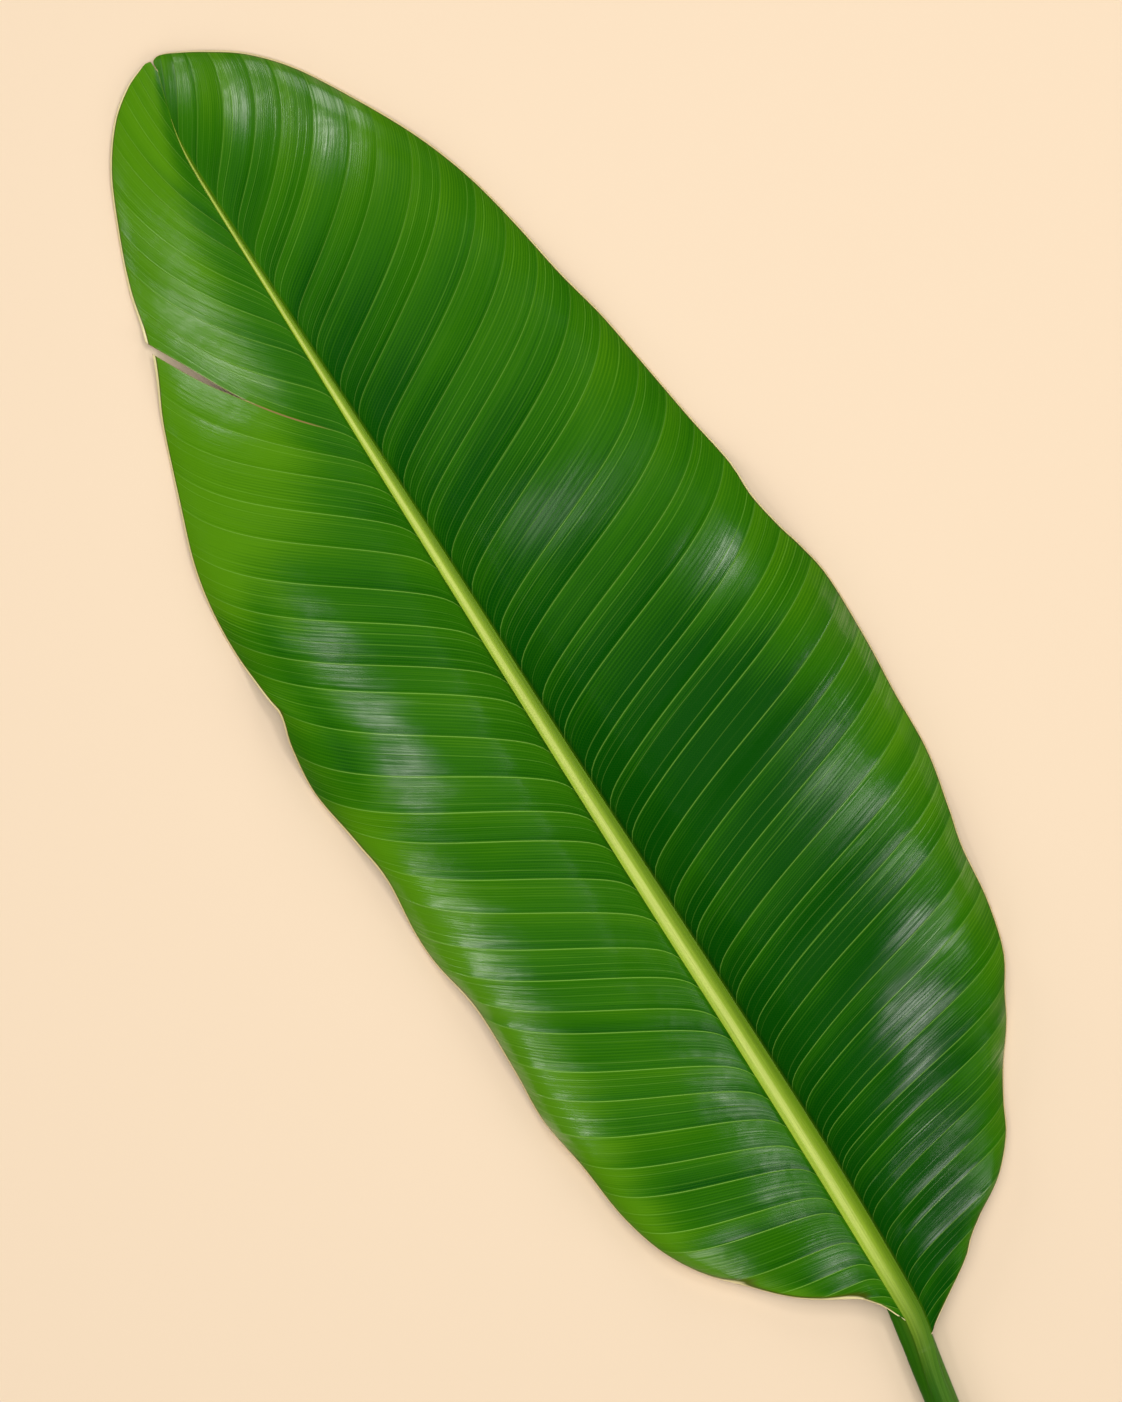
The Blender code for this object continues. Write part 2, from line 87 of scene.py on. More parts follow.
RIB_UNDERSIDE = (
    (-0.2200, 0.0000), (0.3500, 0.0000), (0.4300, 0.0000), (0.5400, 0.0010), (0.6400, 0.0030),
    (0.7300, 0.0060), (0.7900, 0.0080), (0.8400, 0.0080), (0.9000, 0.0045),
)
# The corners of the stalk's outline, from its channel down one side: degrees, and share of its radius
STALK_ANGLES = (0, 12, 26, 48, 76, 104, 132, 158, 180)
STALK_RADII = (0.83, 0.88, 0.98, 1.00, 1.00, 1.00, 1.00, 1.00, 1.00)
FIRST_FLAT_CORNER = 7
# The midrib's groove flattens, its keel narrows and moves under it, and the stalk turns into it, by y
GROOVE_DEPTH = (0.0011, -0.0003)
GROOVE_ENDS = (0.0, 0.8)
KEEL_SHARE = 1.25
KEEL_NARROWS = (0.0, 0.09)
KEEL_MOVES = (0.0, 0.21)
STALK_TURNS = (-0.060, -0.006)
# The keel's corners from its widest down: share of its half width, and of the seat's height
KEEL_CORNERS = ((0.98, 0.80), (1.00, 0.50), (0.82, 0.18), (0.42, 0.0), (0.0, 0.0))
SEAT_SHARE = 0.6

# The blade's two margins, from its base to its tip
MARGIN = {
    1: (
        (0.0000, 0.0134), (0.0120, 0.0316), (0.0243, 0.0498), (0.0334, 0.0592), (0.0425, 0.0722),
        (0.0546, 0.0917), (0.0728, 0.1087), (0.0910, 0.1184), (0.1093, 0.1293), (0.1305, 0.1445),
        (0.1487, 0.1536), (0.1700, 0.1657), (0.2003, 0.1730), (0.2367, 0.1760), (0.2610, 0.1815),
        (0.2974, 0.1888), (0.3400, 0.1900), (0.3763, 0.1918), (0.4188, 0.1918), (0.4431, 0.1870),
        (0.4613, 0.1815), (0.4856, 0.1766), (0.5100, 0.1760), (0.5460, 0.1694), (0.5830, 0.1633),
        (0.6250, 0.1560), (0.6616, 0.1470), (0.7040, 0.1390), (0.7405, 0.1300), (0.7770, 0.1160),
        (0.8134, 0.0971), (0.8500, 0.0747), (0.8740, 0.0528), (0.8890, 0.0303), (0.8975, 0.0135),
        (0.9000, 0.0060), (0.8995, 0.0022), (0.8980, 0.0010),
    ),
    -1: (
        (0.0152, -0.0042), (0.0243, -0.0085), (0.0304, -0.0134), (0.0364, -0.0200), (0.0486, -0.0419),
        (0.0607, -0.0583), (0.0789, -0.0771), (0.0971, -0.0941), (0.1214, -0.1080), (0.1518, -0.1171),
        (0.1880, -0.1220), (0.2246, -0.1281), (0.2610, -0.1270), (0.3035, -0.1275), (0.3400, -0.1348),
        (0.3640, -0.1360), (0.4000, -0.1335), (0.4310, -0.1384), (0.4674, -0.1445), (0.4980, -0.1415),
        (0.5180, -0.1366), (0.5340, -0.1390), (0.5645, -0.1420), (0.5950, -0.1408), (0.6250, -0.1354),
        (0.6616, -0.1238), (0.7040, -0.1093), (0.7480, -0.0917), (0.7890, -0.0826), (0.8255, -0.0692),
        (0.8560, -0.0552), (0.8800, -0.0376), (0.8935, -0.0206), (0.8995, -0.0060), (0.9002, -0.0028),
        (0.8996, -0.0003),
    ),
}
# How high each margin waves above the surface, by its y
MARGIN_HEIGHT = {
    1: (
        (0.000, 0.0170), (0.030, 0.0150), (0.060, 0.0080), (0.095, 0.0020), (0.130, 0.0005), (0.155, 0.0050),
        (0.190, 0.0008), (0.240, 0.0090), (0.300, 0.0010), (0.360, 0.0030), (0.420, 0.0005), (0.478, 0.0100),
        (0.540, 0.0020), (0.600, 0.0005), (0.660, 0.0040), (0.720, 0.0005), (0.780, 0.0025), (0.840, 0.0008),
        (0.900, 0.0045),
    ),
    -1: (
        (0.015, 0.0178), (0.030, 0.0168), (0.055, 0.0110), (0.090, 0.0015), (0.150, 0.0030), (0.210, 0.0005),
        (0.285, 0.0080), (0.350, 0.0005), (0.404, 0.0085), (0.465, 0.0005), (0.518, 0.0150), (0.565, 0.0008),
        (0.630, 0.0030), (0.690, 0.0005), (0.748, 0.0050), (0.765, 0.0020), (0.810, 0.0005), (0.860, 0.0020),
        (0.900, 0.0045),
    ),
}
SETTLED_HEIGHT = 0.0020
SETTLES = (0.03, 0.12)

# The rows of veins: where they leave the midrib, and which share of the margin's length they meet
VEINS = 42
FIRST_ROOT = {1: -0.0050, -1: 0.0100}
LAST_ROOT = 0.8915
ROOT_CROWDING = 1.15
ROOT_BUNCHING = 0.15
ROOT_SHAKE = 0.0035
# How fast the first roots' own start, the shake, the elbows and the bends fade at the ends of the row
FIRST_ROOT_FADE = 8
SHAKE_FADE = 8
SHAKE_END = 0.95
ELBOW_FADE = (12, 8)
BEND_FADE = 10
SHAKE_SEED = {1: 3, -1: 8}
LIFT_SEED = {1: 21, -1: 34}
PLEAT_SEED = {1: 5, -1: 13}
REACH = {
    1: (
        (-0.005, 0.000), (0.018, 0.064), (0.042, 0.110), (0.078, 0.162), (0.146, 0.256), (0.211, 0.337),
        (0.307, 0.444), (0.408, 0.552), (0.517, 0.672), (0.606, 0.768), (0.669, 0.836), (0.738, 0.903),
        (0.782, 0.945), (0.826, 0.978), (0.8915, 1.000),
    ),
    -1: (
        (0.010, 0.000), (0.033, 0.035), (0.064, 0.107), (0.097, 0.176), (0.136, 0.238), (0.183, 0.305),
        (0.266, 0.402), (0.324, 0.463), (0.380, 0.527), (0.458, 0.616), (0.564, 0.726), (0.605, 0.767),
        (0.639, 0.810), (0.684, 0.855), (0.745, 0.922), (0.780, 0.955), (0.825, 0.980), (0.8915, 1.000),
    ),
}
ELBOW = 0.0060
ELBOW_REACH = 0.0045
START_PULL = 0.36
END_PULL = (0.20, 0.32)
# In degrees, by y: how far outside its straight line a vein sets out, and how it stands to the midrib at the
# margin. The torn vein keeps its own ending.
START_TURN = {
    1: ((0.00, -14), (0.20, -12), (0.34, -8), (0.45, -3), (0.55, 1), (0.62, 6), (0.70, 13), (0.78, 18),
        (0.90, 15)),
    -1: ((0.00, -5), (0.20, -5), (0.45, -3), (0.58, 2), (0.64, 12), (0.75, 17), (0.90, 15)),
}
END_ANGLE = {
    1: ((0.00, 72), (0.05, 66), (0.10, 58), (0.20, 53), (0.34, 46), (0.42, 30), (0.50, 17), (0.62, 12),
        (0.75, -5), (0.90, -8)),
    -1: ((0.00, 75), (0.035, 68), (0.055, 57), (0.08, 40), (0.11, 28), (0.15, 23), (0.45, 22), (0.58, 16),
         (0.65, 10), (0.75, 0), (0.90, -8)),
}
TORN_END_ANGLE = 28
TORN_END_PULL = 0.40
# Half the stretch of margin over which its direction is taken, as a share of its length
MARGIN_STEP = 0.005

# The blade's sheet. In its UV map the narrower half's bands are counted from NARROWER_BANDS.
BLADE_THICKNESS = 0.0008
NARROWER_BANDS = 60.0
ROWS = 44
BAND_PLACES = (0.0, 0.03, 0.10, 0.20, 0.38, 0.60, 0.82, 0.97)
SHEET_DROP = 0.0006
CROWN = (
    (0.00, 0.00), (0.10, 0.43), (0.22, 0.82), (0.40, 1.00), (0.60, 0.97), (0.78, 0.82), (0.90, 0.52),
    (1.00, 0.00),
)
# How high the crown of each half stands, as a share of its width, and how far out, by y
CROWN_SIZE = {
    1: ((0.00, 0.14), (0.12, 0.16), (0.30, 0.15), (0.42, 0.14), (0.52, 0.10), (0.70, 0.10), (0.90, 0.13)),
    -1: ((0.00, 0.13), (0.20, 0.14), (0.45, 0.14), (0.60, 0.11), (0.68, 0.06), (0.75, 0.04), (0.82, 0.06),
         (0.90, 0.10)),
}
CROWN_SKEW = {
    1: ((0.00, 0.80), (0.12, 0.82), (0.25, 0.82), (0.38, 0.84), (0.55, 0.86), (0.70, 0.95), (0.82, 1.15),
        (0.90, 1.25)),
    -1: ((0.00, 1.20), (0.12, 1.30), (0.24, 1.28), (0.33, 1.00), (0.45, 0.90), (0.60, 0.95), (0.75, 1.20),
         (0.90, 1.20)),
}
PLEAT_SHARE = 0.030
PLEAT_FOLD = 0.20
PLEAT_CURVE = 1.6
PLEAT_VARIETY = 0.6
TIP_PLEATS = 0.45
PLEATS_FADE = (0.25, 0.75)
FOLD_FADE = 5
VEIN_LIFT = 0.0016
FULL_LIFT_VEIN = 0.100
RIDGE_HEIGHT = 0.00010
RIDGE_WIDTH = 0.0006

# The tear in the narrower half. Veins less than TEAR_LEAN away lean with the torn one, and the blade parts
# beside it up to TEAR_SPREAD veins away.
TEAR_VEIN = 31
TEAR_ROOT = 0.6390
TEAR_START = 0.45
TEAR_OPENS = 0.48
TEAR_OPEN = 0.86
TEAR_GAP = 0.0080
TEAR_LEAN = 2
TEAR_SPREAD = 1.5

# The camera looks straight down on the leaf, turned so that the tip points up and to the left
VIEW_MIDDLE = (0.0130, 0.4380)
VIEW_HEIGHT = 0.8514
VIEW_TURN = math.radians(-31.06)
LENS_MM = 85.0
FILM_MM = 36.0
LEAF_PLANE = 0.006


def on_curve(a, b, c, d, f):
    """The number at f on the smooth curve from b to c that comes from a and goes on to d."""
    return b + 0.5 * f * (c - a + f * (2 * a - 5 * b + 4 * c - d + f * (3 * b - a - 3 * c + d)))


def curve_through(points, steps=12):
    """A smooth curve through the points, and the length run at each place of it."""
    before = tuple(2 * a - b for a, b in zip(points[0], points[1]))
    after = tuple(2 * a - b for a, b in zip(points[-1], points[-2]))
    ends = [before, *points, after]
    line = []
    for i in range(1, len(ends) - 2):
        for step in range(steps):
            line.append(tuple(on_curve(*near, step / steps) for near in zip(*ends[i - 1:i + 3])))
    line.append(tuple(points[-1]))
    run = [0.0]
    for a, b in zip(line, line[1:]):
        run.append(run[-1] + math.dist(a, b))
    return line, run


def read_off(places, values, place):
    """The value at a place, straight between the two nearest."""
    if place <= places[0]:
        return values[0]
    if place >= places[-1]:
        return values[-1]
    low = 0
    high = len(places) - 1
    while high - low > 1:
        middle = (low + high) // 2
        if places[middle] <= place:
            low = middle
        else:
            high = middle
    f = (place - places[low]) / (places[high] - places[low])
    return tuple(a + (b - a) * f for a, b in zip(values[low], values[high]))


def profile(points):
    """A function that reads the second number of the points off for the first."""
    line, _ = curve_through(points)
    places = [point[0] for point in line]
    values = [point[1:] for point in line]
    return lambda place: read_off(places, values, place)[0]


def smooth(low, high, value):
    """0 below low, 1 above high, and an even rise between them."""
    f = min(1.0, max(0.0, (value - low) / (high - low)))
    return f * f * (3 - 2 * f)


def mix(a, b, share):
    return a + (b - a) * share


ring_place = profile(RING_PLACES)
stalk_x = profile(STALK_LINE)
rib_x = profile(RIB_LINE)
rib_half_width = profile(RIB_HALF_WIDTH)
rib_depth = profile(RIB_DEPTH)
crown_share = profile(CROWN)
crown_size = {side: profile(CROWN_SIZE[side]) for side in CROWN_SIZE}
crown_skew = {side: profile(CROWN_SKEW[side]) for side in CROWN_SKEW}
reach_share = {side: profile(REACH[side]) for side in REACH}
start_turn = {side: profile(START_TURN[side]) for side in START_TURN}
end_angle = {side: profile(END_ANGLE[side]) for side in END_ANGLE}
margin_height = {side: profile(MARGIN_HEIGHT[side]) for side in MARGIN_HEIGHT}
margin_line = {side: curve_through(MARGIN[side]) for side in MARGIN}
underside_line = profile(RIB_UNDERSIDE)


def rib_underside(y):
    return max(0.0, underside_line(y))


def draws(seed):
    """One random number from -1 to 1 for each vein, the same each time."""
    generator = random.Random(seed)
    return [generator.uniform(-1, 1) for _ in range(VEINS + 1)]


root_shake = {side: draws(SHAKE_SEED[side]) for side in SHAKE_SEED}
vein_lift = {side: draws(LIFT_SEED[side]) for side in LIFT_SEED}
pleat_size = {side: [1 + PLEAT_VARIETY * draw for draw in draws(PLEAT_SEED[side])] for side in PLEAT_SEED}


def vein_and_band(v):
    """The vein before a place, and how far the place is on the way to the next one, from 0 to 1."""
    place = v * VEINS
    vein = min(int(place), VEINS - 1)
    return vein, place - vein


def between_veins(values, v):
    """A vein's own value at the vein, and an even change from it to the next vein's."""
    vein, band = vein_and_band(v)
    return mix(values[vein], values[vein + 1], smooth(0, 1, band))


def even_root(side, v):
    crowded = v ** ROOT_CROWDING
    even = crowded - ROOT_BUNCHING * math.sin(2 * math.pi * crowded) / (2 * math.pi)
    return LAST_ROOT * even + FIRST_ROOT[side] * (1 - v) ** FIRST_ROOT_FADE


def beside_tear(side, v):
    """1 at the torn vein, and 0 from TEAR_LEAN veins away."""
    return 0.0 if side > 0 else max(0.0, 1 - abs(v * VEINS - TEAR_VEIN) / TEAR_LEAN)


def root_y(side, v):
    """Where along the midrib a vein turns outward."""
    steady = min(1.0, SHAKE_FADE * v) * min(1.0, max(0.0, SHAKE_FADE * (SHAKE_END - v)))
    y = even_root(side, v) + ROOT_SHAKE * steady * between_veins(root_shake[side], v)
    return y + beside_tear(side, v) * (TEAR_ROOT - even_root(side, TEAR_VEIN / VEINS))


def band_width(side, v):
    """About how far apart two neighbouring veins leave the midrib."""
    half = 0.5 / VEINS
    return even_root(side, min(1.0, v + half)) - even_root(side, max(0.0, v - half))


def rib_edge(side, y):
    """The x of the blade's inner edge, or the x where the halves join once the rib has ended."""
    if y > SLOT_END:
        return rib_x(y)
    return rib_x(y) + side * rib_half_width(y)


def margin_point(side, share):
    line, run = margin_line[side]
    return read_off(run, line, min(1.0, max(0.0, share)) * run[-1])


@functools.lru_cache(maxsize=None)
def vein_ends(side, v):
    """The vein's knee beside the midrib, and its end on the margin."""
    y = root_y(side, v)
    return (y, rib_edge(side, y)), margin_point(side, reach_share[side](y))


def vein_headings(side, v):
    """The directions, along and across the leaf, in which a vein sets out and meets the margin."""
    knee, end = vein_ends(side, v)
    steady = min(1.0, BEND_FADE * (1 - v))
    straight = math.atan2(side * (end[1] - knee[1]), end[0] - knee[0])
    first = straight + steady * math.radians(start_turn[side](knee[0]))
    last = math.radians(mix(end_angle[side](knee[0]), TORN_END_ANGLE, beside_tear(side, v)))
    return (math.cos(first), side * math.sin(first)), (math.cos(last), side * math.sin(last))


@functools.lru_cache(maxsize=None)
def squareness(side, v):
    """How squarely a vein meets the margin: 0 alongside it, 1 at a right angle."""
    knee, _ = vein_ends(side, v)
    share = reach_share[side](knee[0])
    before = margin_point(side, share - MARGIN_STEP)
    after = margin_point(side, share + MARGIN_STEP)
    _, last = vein_headings(side, v)
    crossing = last[0] * (after[1] - before[1]) - last[1] * (after[0] - before[0])
    return abs(crossing) / math.dist(before, after)


def vein_place(side, v, t):
    """The place on the plan, as y and x, at t along a vein."""
    knee, end = vein_ends(side, v)
    first, last = vein_headings(side, v)
    length = math.dist(knee, end)
    hook = mix(mix(*END_PULL, v), TORN_END_PULL, beside_tear(side, v)) * min(1.0, BEND_FADE * (1 - v))
    elbow = ELBOW * min(1.0, ELBOW_FADE[0] * v, ELBOW_FADE[1] * (1 - v))
    sink = rib_edge(side, knee[0] - elbow) - knee[1]
    place = []
    for axis in (0, 1):
        a = knee[axis]
        b = a + first[axis] * length * START_PULL
        d = end[axis]
        c = d - last[axis] * length * hook
        s = 1 - t
        place.append(s ** 3 * a + 3 * s * s * t * b + 3 * s * t * t * c + t ** 3 * d)
    fade = math.exp(-t * length / ELBOW_REACH) * (1 - t)
    return place[0] - elbow * fade, place[1] + sink * fade


@functools.lru_cache(maxsize=None)
def vein_heights(side, v):
    """What the sheet's height along a vein is made of."""
    root = vein_place(side, v, 0)
    end = vein_place(side, v, 1)
    rib = rib_underside(root[0]) + rib_depth(root[0]) - SHEET_DROP
    margin = margin_height[side](end[0])
    settled = mix(margin, SETTLED_HEIGHT, smooth(*SETTLES, end[0]))
    width = abs(end[1] - root[1])
    size = min(1.0, math.dist(root, end) / FULL_LIFT_VEIN)
    lift = VEIN_LIFT * size * between_veins(vein_lift[side], v)
    return rib, settled, margin - settled, width, lift


def pleat_height(side, v):
    """Each vein is a crest: the blade drops just past it, and rises slowly to the next one."""
    vein, band = vein_and_band(v)
    size = PLEAT_SHARE * band_width(side, v) * mix(1.0, TIP_PLEATS, smooth(*PLEATS_FADE, v))
    passed = pleat_size[side][vein] * (1 - smooth(0, PLEAT_FOLD, band))
    coming = pleat_size[side][vein + 1] * max(0.0, (band - PLEAT_FOLD) / (1 - PLEAT_FOLD)) ** PLEAT_CURVE
    return size * (passed + coming)


def sheet_height(side, v, t):
    """The height of the middle of the blade's thickness."""
    rib, settled, wave, width, lift = vein_heights(side, v)
    y = vein_place(side, v, t)[0]
    crown = crown_size[side](y) * width * crown_share(t ** crown_skew[side](y))
    _, band = vein_and_band(v)
    from_vein = min(band, 1 - band) * band_width(side, v)
    ridge = RIDGE_HEIGHT * math.exp(-(from_vein / RIDGE_WIDTH) ** 2)
    folds = (pleat_height(side, v) + ridge) * min(1.0, FOLD_FADE * t) * min(1.0, FOLD_FADE * (1 - t))
    height = mix(rib, settled, t) + crown + wave * t ** 3 + folds + lift * 4 * t * (1 - t)
    return max(height, BLADE_THICKNESS / 2)


def tear_shift(v, t, lip):
    """How far the blade beside the tear is drawn along the leaf, by a lip of 1 above it or -1 below."""
    nearness = max(0.0, 1 - abs(v * VEINS - TEAR_VEIN) / TEAR_SPREAD)
    return lip * nearness * TEAR_GAP / 2 * smooth(TEAR_OPENS, TEAR_OPEN, t)


# The blade's mesh: a flat grid, one column for each place in each band, bent into the leaf
COLUMNS = VEINS * len(BAND_PLACES)
TEAR_COLUMN = TEAR_VEIN * len(BAND_PLACES)


def grid_row(vert):
    return round((vert.co.x + 0.5) * (2 * ROWS + 1))


def grid_column(vert):
    return round((vert.co.y + 0.5) * COLUMNS)


def column_v(column):
    band, place = divmod(column, len(BAND_PLACES))
    return (band + BAND_PLACES[place]) / VEINS


def open_slot(bm):
    """Takes out the strip of faces where the rib lies."""
    slot = []
    for face in bm.faces:
        rows = sorted({grid_row(vert) for vert in face.verts})
        column = min(grid_column(vert) for vert in face.verts)
        if rows == [ROWS, ROWS + 1] and vein_place(1, column_v(column), 0)[0] < SLOT_END:
            slot.append(face)
    bmesh.ops.delete(bm, geom=slot, context="FACES")


def open_tear(bm):
    """Splits the narrower half along one vein, from the margin inward."""
    torn = []
    for edge in bm.edges:
        along_vein = all(grid_column(vert) == TEAR_COLUMN for vert in edge.verts)
        outside = all(1 - grid_row(vert) / ROWS > TEAR_START - 0.5 / ROWS for vert in edge.verts)
        if along_vein and outside:
            torn.append(edge)
    bmesh.ops.split_edges(bm, edges=torn)


def lip_of(vert):
    """1 for a vertex of the narrower half above the tear, -1 for one below it, and 0 for any other."""
    if grid_row(vert) >= ROWS:
        return 0
    column = grid_column(vert)
    if column != TEAR_COLUMN:
        return 1 if column > TEAR_COLUMN else -1
    sides = {1 if face.calc_center_median().y > vert.co.y else -1 for face in vert.link_faces}
    return sides.pop() if len(sides) == 1 else 0


def grid_place(vert):
    """The side, v and t of a vertex of the flat grid."""
    row = grid_row(vert)
    v = column_v(grid_column(vert))
    if row <= ROWS:
        return -1, v, 1 - row / ROWS
    return 1, v, (row - ROWS - 1) / ROWS


def note_places(bm, places):
    """Keeps, as UV maps, the place among the veins and the place between midrib and margin."""
    along = bm.loops.layers.uv.new("Veins")
    across = bm.loops.layers.uv.new("Across")
    for face in bm.faces:
        for loop in face.loops:
            side, v, t = places[loop.vert]
            length = math.dist(*vein_ends(side, v))
            other_half = NARROWER_BANDS if side < 0 else 0
            loop[along].uv = (v * VEINS + other_half, t * length)
            loop[across].uv = (t, (1 - t) * length * squareness(side, v))


def bend_sheet(bm):
    """Moves each vertex of the flat grid to its place on the blade."""
    lips = {vert: lip_of(vert) for vert in bm.verts}
    places = {vert: grid_place(vert) for vert in bm.verts}
    note_places(bm, places)
    for vert, (side, v, t) in places.items():
        y, x = vein_place(side, v, t)
        y += tear_shift(v, t, lips[vert])
        vert.co = (x + SHIFT[0], y + SHIFT[1], sheet_height(side, v, t))


def add_piece(name, bm, materials):
    mesh = bpy.data.meshes.new(name)
    bm.to_mesh(mesh)
    bm.free()
    for material in materials:
        mesh.materials.append(material)
    for face in mesh.polygons:
        face.use_smooth = True
    piece = bpy.data.objects.new(name, mesh)
    bpy.context.scene.collection.objects.link(piece)
    return piece


def make_blade():
    bm = bmesh.new()
    bmesh.ops.create_grid(bm, x_segments=2 * ROWS + 1, y_segments=COLUMNS, size=0.5)
    open_slot(bm)
    open_tear(bm)
    bend_sheet(bm)
    bmesh.ops.remove_doubles(bm, verts=bm.verts, dist=0.00001)
    blade = add_piece("leaf_blade", bm, [upper_face(), lower_face(), margin_edge()])
    thicken = blade.modifiers.new("thickness", "SOLIDIFY")
    thicken.thickness = BLADE_THICKNESS
    thicken.offset = 0
    thicken.material_offset = 1
    thicken.material_offset_rim = 2
    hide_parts("blade")
    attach(blade, "root")


def stalk_corner(corner, y):
    """A corner of the round stalk's outline, counted from its channel toward plus x."""
    side = 1 if corner > 0 else -1
    place = abs(corner)
    angle = math.radians(STALK_ANGLES[place])
    roll = CHANNEL_ROLL * math.cos(angle / 2) ** 2
    radius = STALK_RADIUS * STALK_RADII[place]
    x = stalk_x(y) + radius * math.sin(side * angle + roll)
    z = STALK_RADIUS + radius * math.cos(side * angle + roll)
    if place >= FIRST_FLAT_CORNER:
        z = 0.0
    return x, z


def rib_corner(corner, y):
    """A corner of the midrib's outline: a channelled band above, a seat for the blade, and a keel."""
    side = 1 if corner > 0 else -1
    place = abs(corner)
    half = rib_half_width(y)
    depth = rib_depth(y)
    groove = mix(*GROOVE_DEPTH, smooth(*GROOVE_ENDS, y))
    seat = depth - min(SEAT_DROP, SEAT_SHARE * depth)
    band = ((0.0, depth - groove), (0.5 * half, depth - 0.6 * groove), (half, depth), (half, seat))
    if place < len(band):
        return rib_x(y) + side * band[place][0], band[place][1]
    keel_half = mix(STALK_RADIUS, KEEL_SHARE * half, smooth(*KEEL_NARROWS, y))
    middle = mix(stalk_x(y), rib_x(y), smooth(*KEEL_MOVES, y))
    across, height = KEEL_CORNERS[place - len(band)]
    return middle + side * across * keel_half, height * seat


@functools.lru_cache(maxsize=None)
def outline_corner(corner, y):
    """The stalk's outline turns into the midrib's just below the blade."""
    wrapped = (corner + OUTLINE_CORNERS // 2) % OUTLINE_CORNERS - OUTLINE_CORNERS // 2
    share = smooth(*STALK_TURNS, y)
    stalk = stalk_corner(wrapped, y)
    rib = rib_corner(wrapped, y)
    return mix(stalk[0], rib[0], share), rib_underside(y) + mix(stalk[1], rib[1], share)


def outline_place(around, y):
    """A place on the outline, smooth between its corners; around is counted in corners."""
    corner = math.floor(around)
    near = [outline_corner(corner + k, y) for k in (-1, 0, 1, 2)]
    x, z = (on_curve(*values, around - corner) for values in zip(*near))
    return x, max(0.0, z)


def stalk_tube():
    """A tube along z, one unit long, with a ring of vertices for each ring of the stalk."""
    bm = bmesh.new()
    bmesh.ops.create_cone(bm, cap_ends=True, segments=STALK_SIDES, radius1=1, radius2=1, depth=1)
    lengthwise = [edge for edge in bm.edges if abs(edge.verts[0].co.z - edge.verts[1].co.z) > 0.5]
    bmesh.ops.subdivide_edges(bm, edges=lengthwise, cuts=STALK_RINGS - 1)
    return bm


def note_rounds(bm, places):
    """Keeps, as a UV map, the place round the outline and the place along the leaf."""
    round_map = bm.loops.layers.uv.new("Round")
    for face in bm.faces:
        turns = [places[loop.vert][0] for loop in face.loops]
        for loop in face.loops:
            around, y = places[loop.vert]
            if max(turns) - around > OUTLINE_CORNERS / 2:
                around += OUTLINE_CORNERS
            loop[round_map].uv = (around, y)


def make_stalk_and_midrib():
    bm = stalk_tube()
    places = {}
    for vert in bm.verts:
        around = math.atan2(vert.co.x, vert.co.y) / (2 * math.pi) * OUTLINE_CORNERS
        places[vert] = (around, ring_place(0.5 - vert.co.z))
    note_rounds(bm, places)
    for face in bm.faces:
        if len(face.verts) > 4:
            face.material_index = 1
    for vert, (around, y) in places.items():
        x, z = outline_place(around, y)
        vert.co = (x + SHIFT[0], y + SHIFT[1], z)
    bmesh.ops.recalc_face_normals(bm, faces=bm.faces)
    stalk = add_piece("leaf_stalk_and_midrib", bm, [stalk_skin(), cut_end()])
    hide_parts("stalk_and_midrib")
    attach(stalk, "root")


# Small helpers for materials
def new_material(name):
    """The material, its node tree and its shader."""
    material = bpy.data.materials.new(name)
    material.use_nodes = True
    tree = material.node_tree
    return material, tree, tree.nodes["Principled BSDF"]


def give(tree, node, inputs):
    """Sets a node's inputs, each to a plain value or linked to another node's output."""
    for key, value in inputs.items():
        if isinstance(value, bpy.types.NodeSocket):
            tree.links.new(value, node.inputs[key])
        else:
            node.inputs[key].default_value = value


def put(tree, kind, inputs, **settings):
    """Adds a node with its settings and inputs."""
    node = tree.nodes.new(kind)
    for key, value in settings.items():
        setattr(node, key, value)
    give(tree, node, inputs)
    return node


def calc(tree, operation, first, second=0.0, third=0.0):
    return put(tree, "ShaderNodeMath", {0: first, 1: second, 2: third}, operation=operation).outputs[0]


def times(tree, first, second):
    return calc(tree, "MULTIPLY", first, second)


def add_share(tree, value, share, total):
    """The total with a share of the value added."""
    return calc(tree, "MULTIPLY_ADD", value, share, total)


def less(tree, value, taken):
    return calc(tree, "SUBTRACT", value, taken)


def band_pass(tree, value, low, high, start=0.0, end=1.0):
    """Goes evenly from start to end while the value goes from low to high."""
    inputs = {"Value": value, "From Min": low, "From Max": high, "To Min": start, "To Max": end}
    return put(tree, "ShaderNodeMapRange", inputs, interpolation_type="SMOOTHSTEP").outputs["Result"]


def pick(tree, share, first, second):
    """The first number where the share is 0, the second where it is 1."""
    return put(tree, "ShaderNodeMix", {0: share, 2: first, 3: second}).outputs[0]


def blend_colour(tree, share, first, second, blend="MIX"):
    inputs = {0: share, 6: first, 7: second}
    return put(tree, "ShaderNodeMix", inputs, data_type="RGBA", blend_type=blend).outputs[2]


def split(tree, vector):
    parts = put(tree, "ShaderNodeSeparateXYZ", {"Vector": vector})
    return parts.outputs["X"], parts.outputs["Y"], parts.outputs["Z"]


def join(tree, x, y, z=0.0):
    return put(tree, "ShaderNodeCombineXYZ", {"X": x, "Y": y, "Z": z}).outputs["Vector"]


def uv(tree, name):
    return put(tree, "ShaderNodeUVMap", {}, uv_map=name).outputs["UV"]


def on_piece(tree):
    """The place on the piece, in metres in the model's frame."""
    return put(tree, "ShaderNodeTexCoord", {}).outputs["Object"]


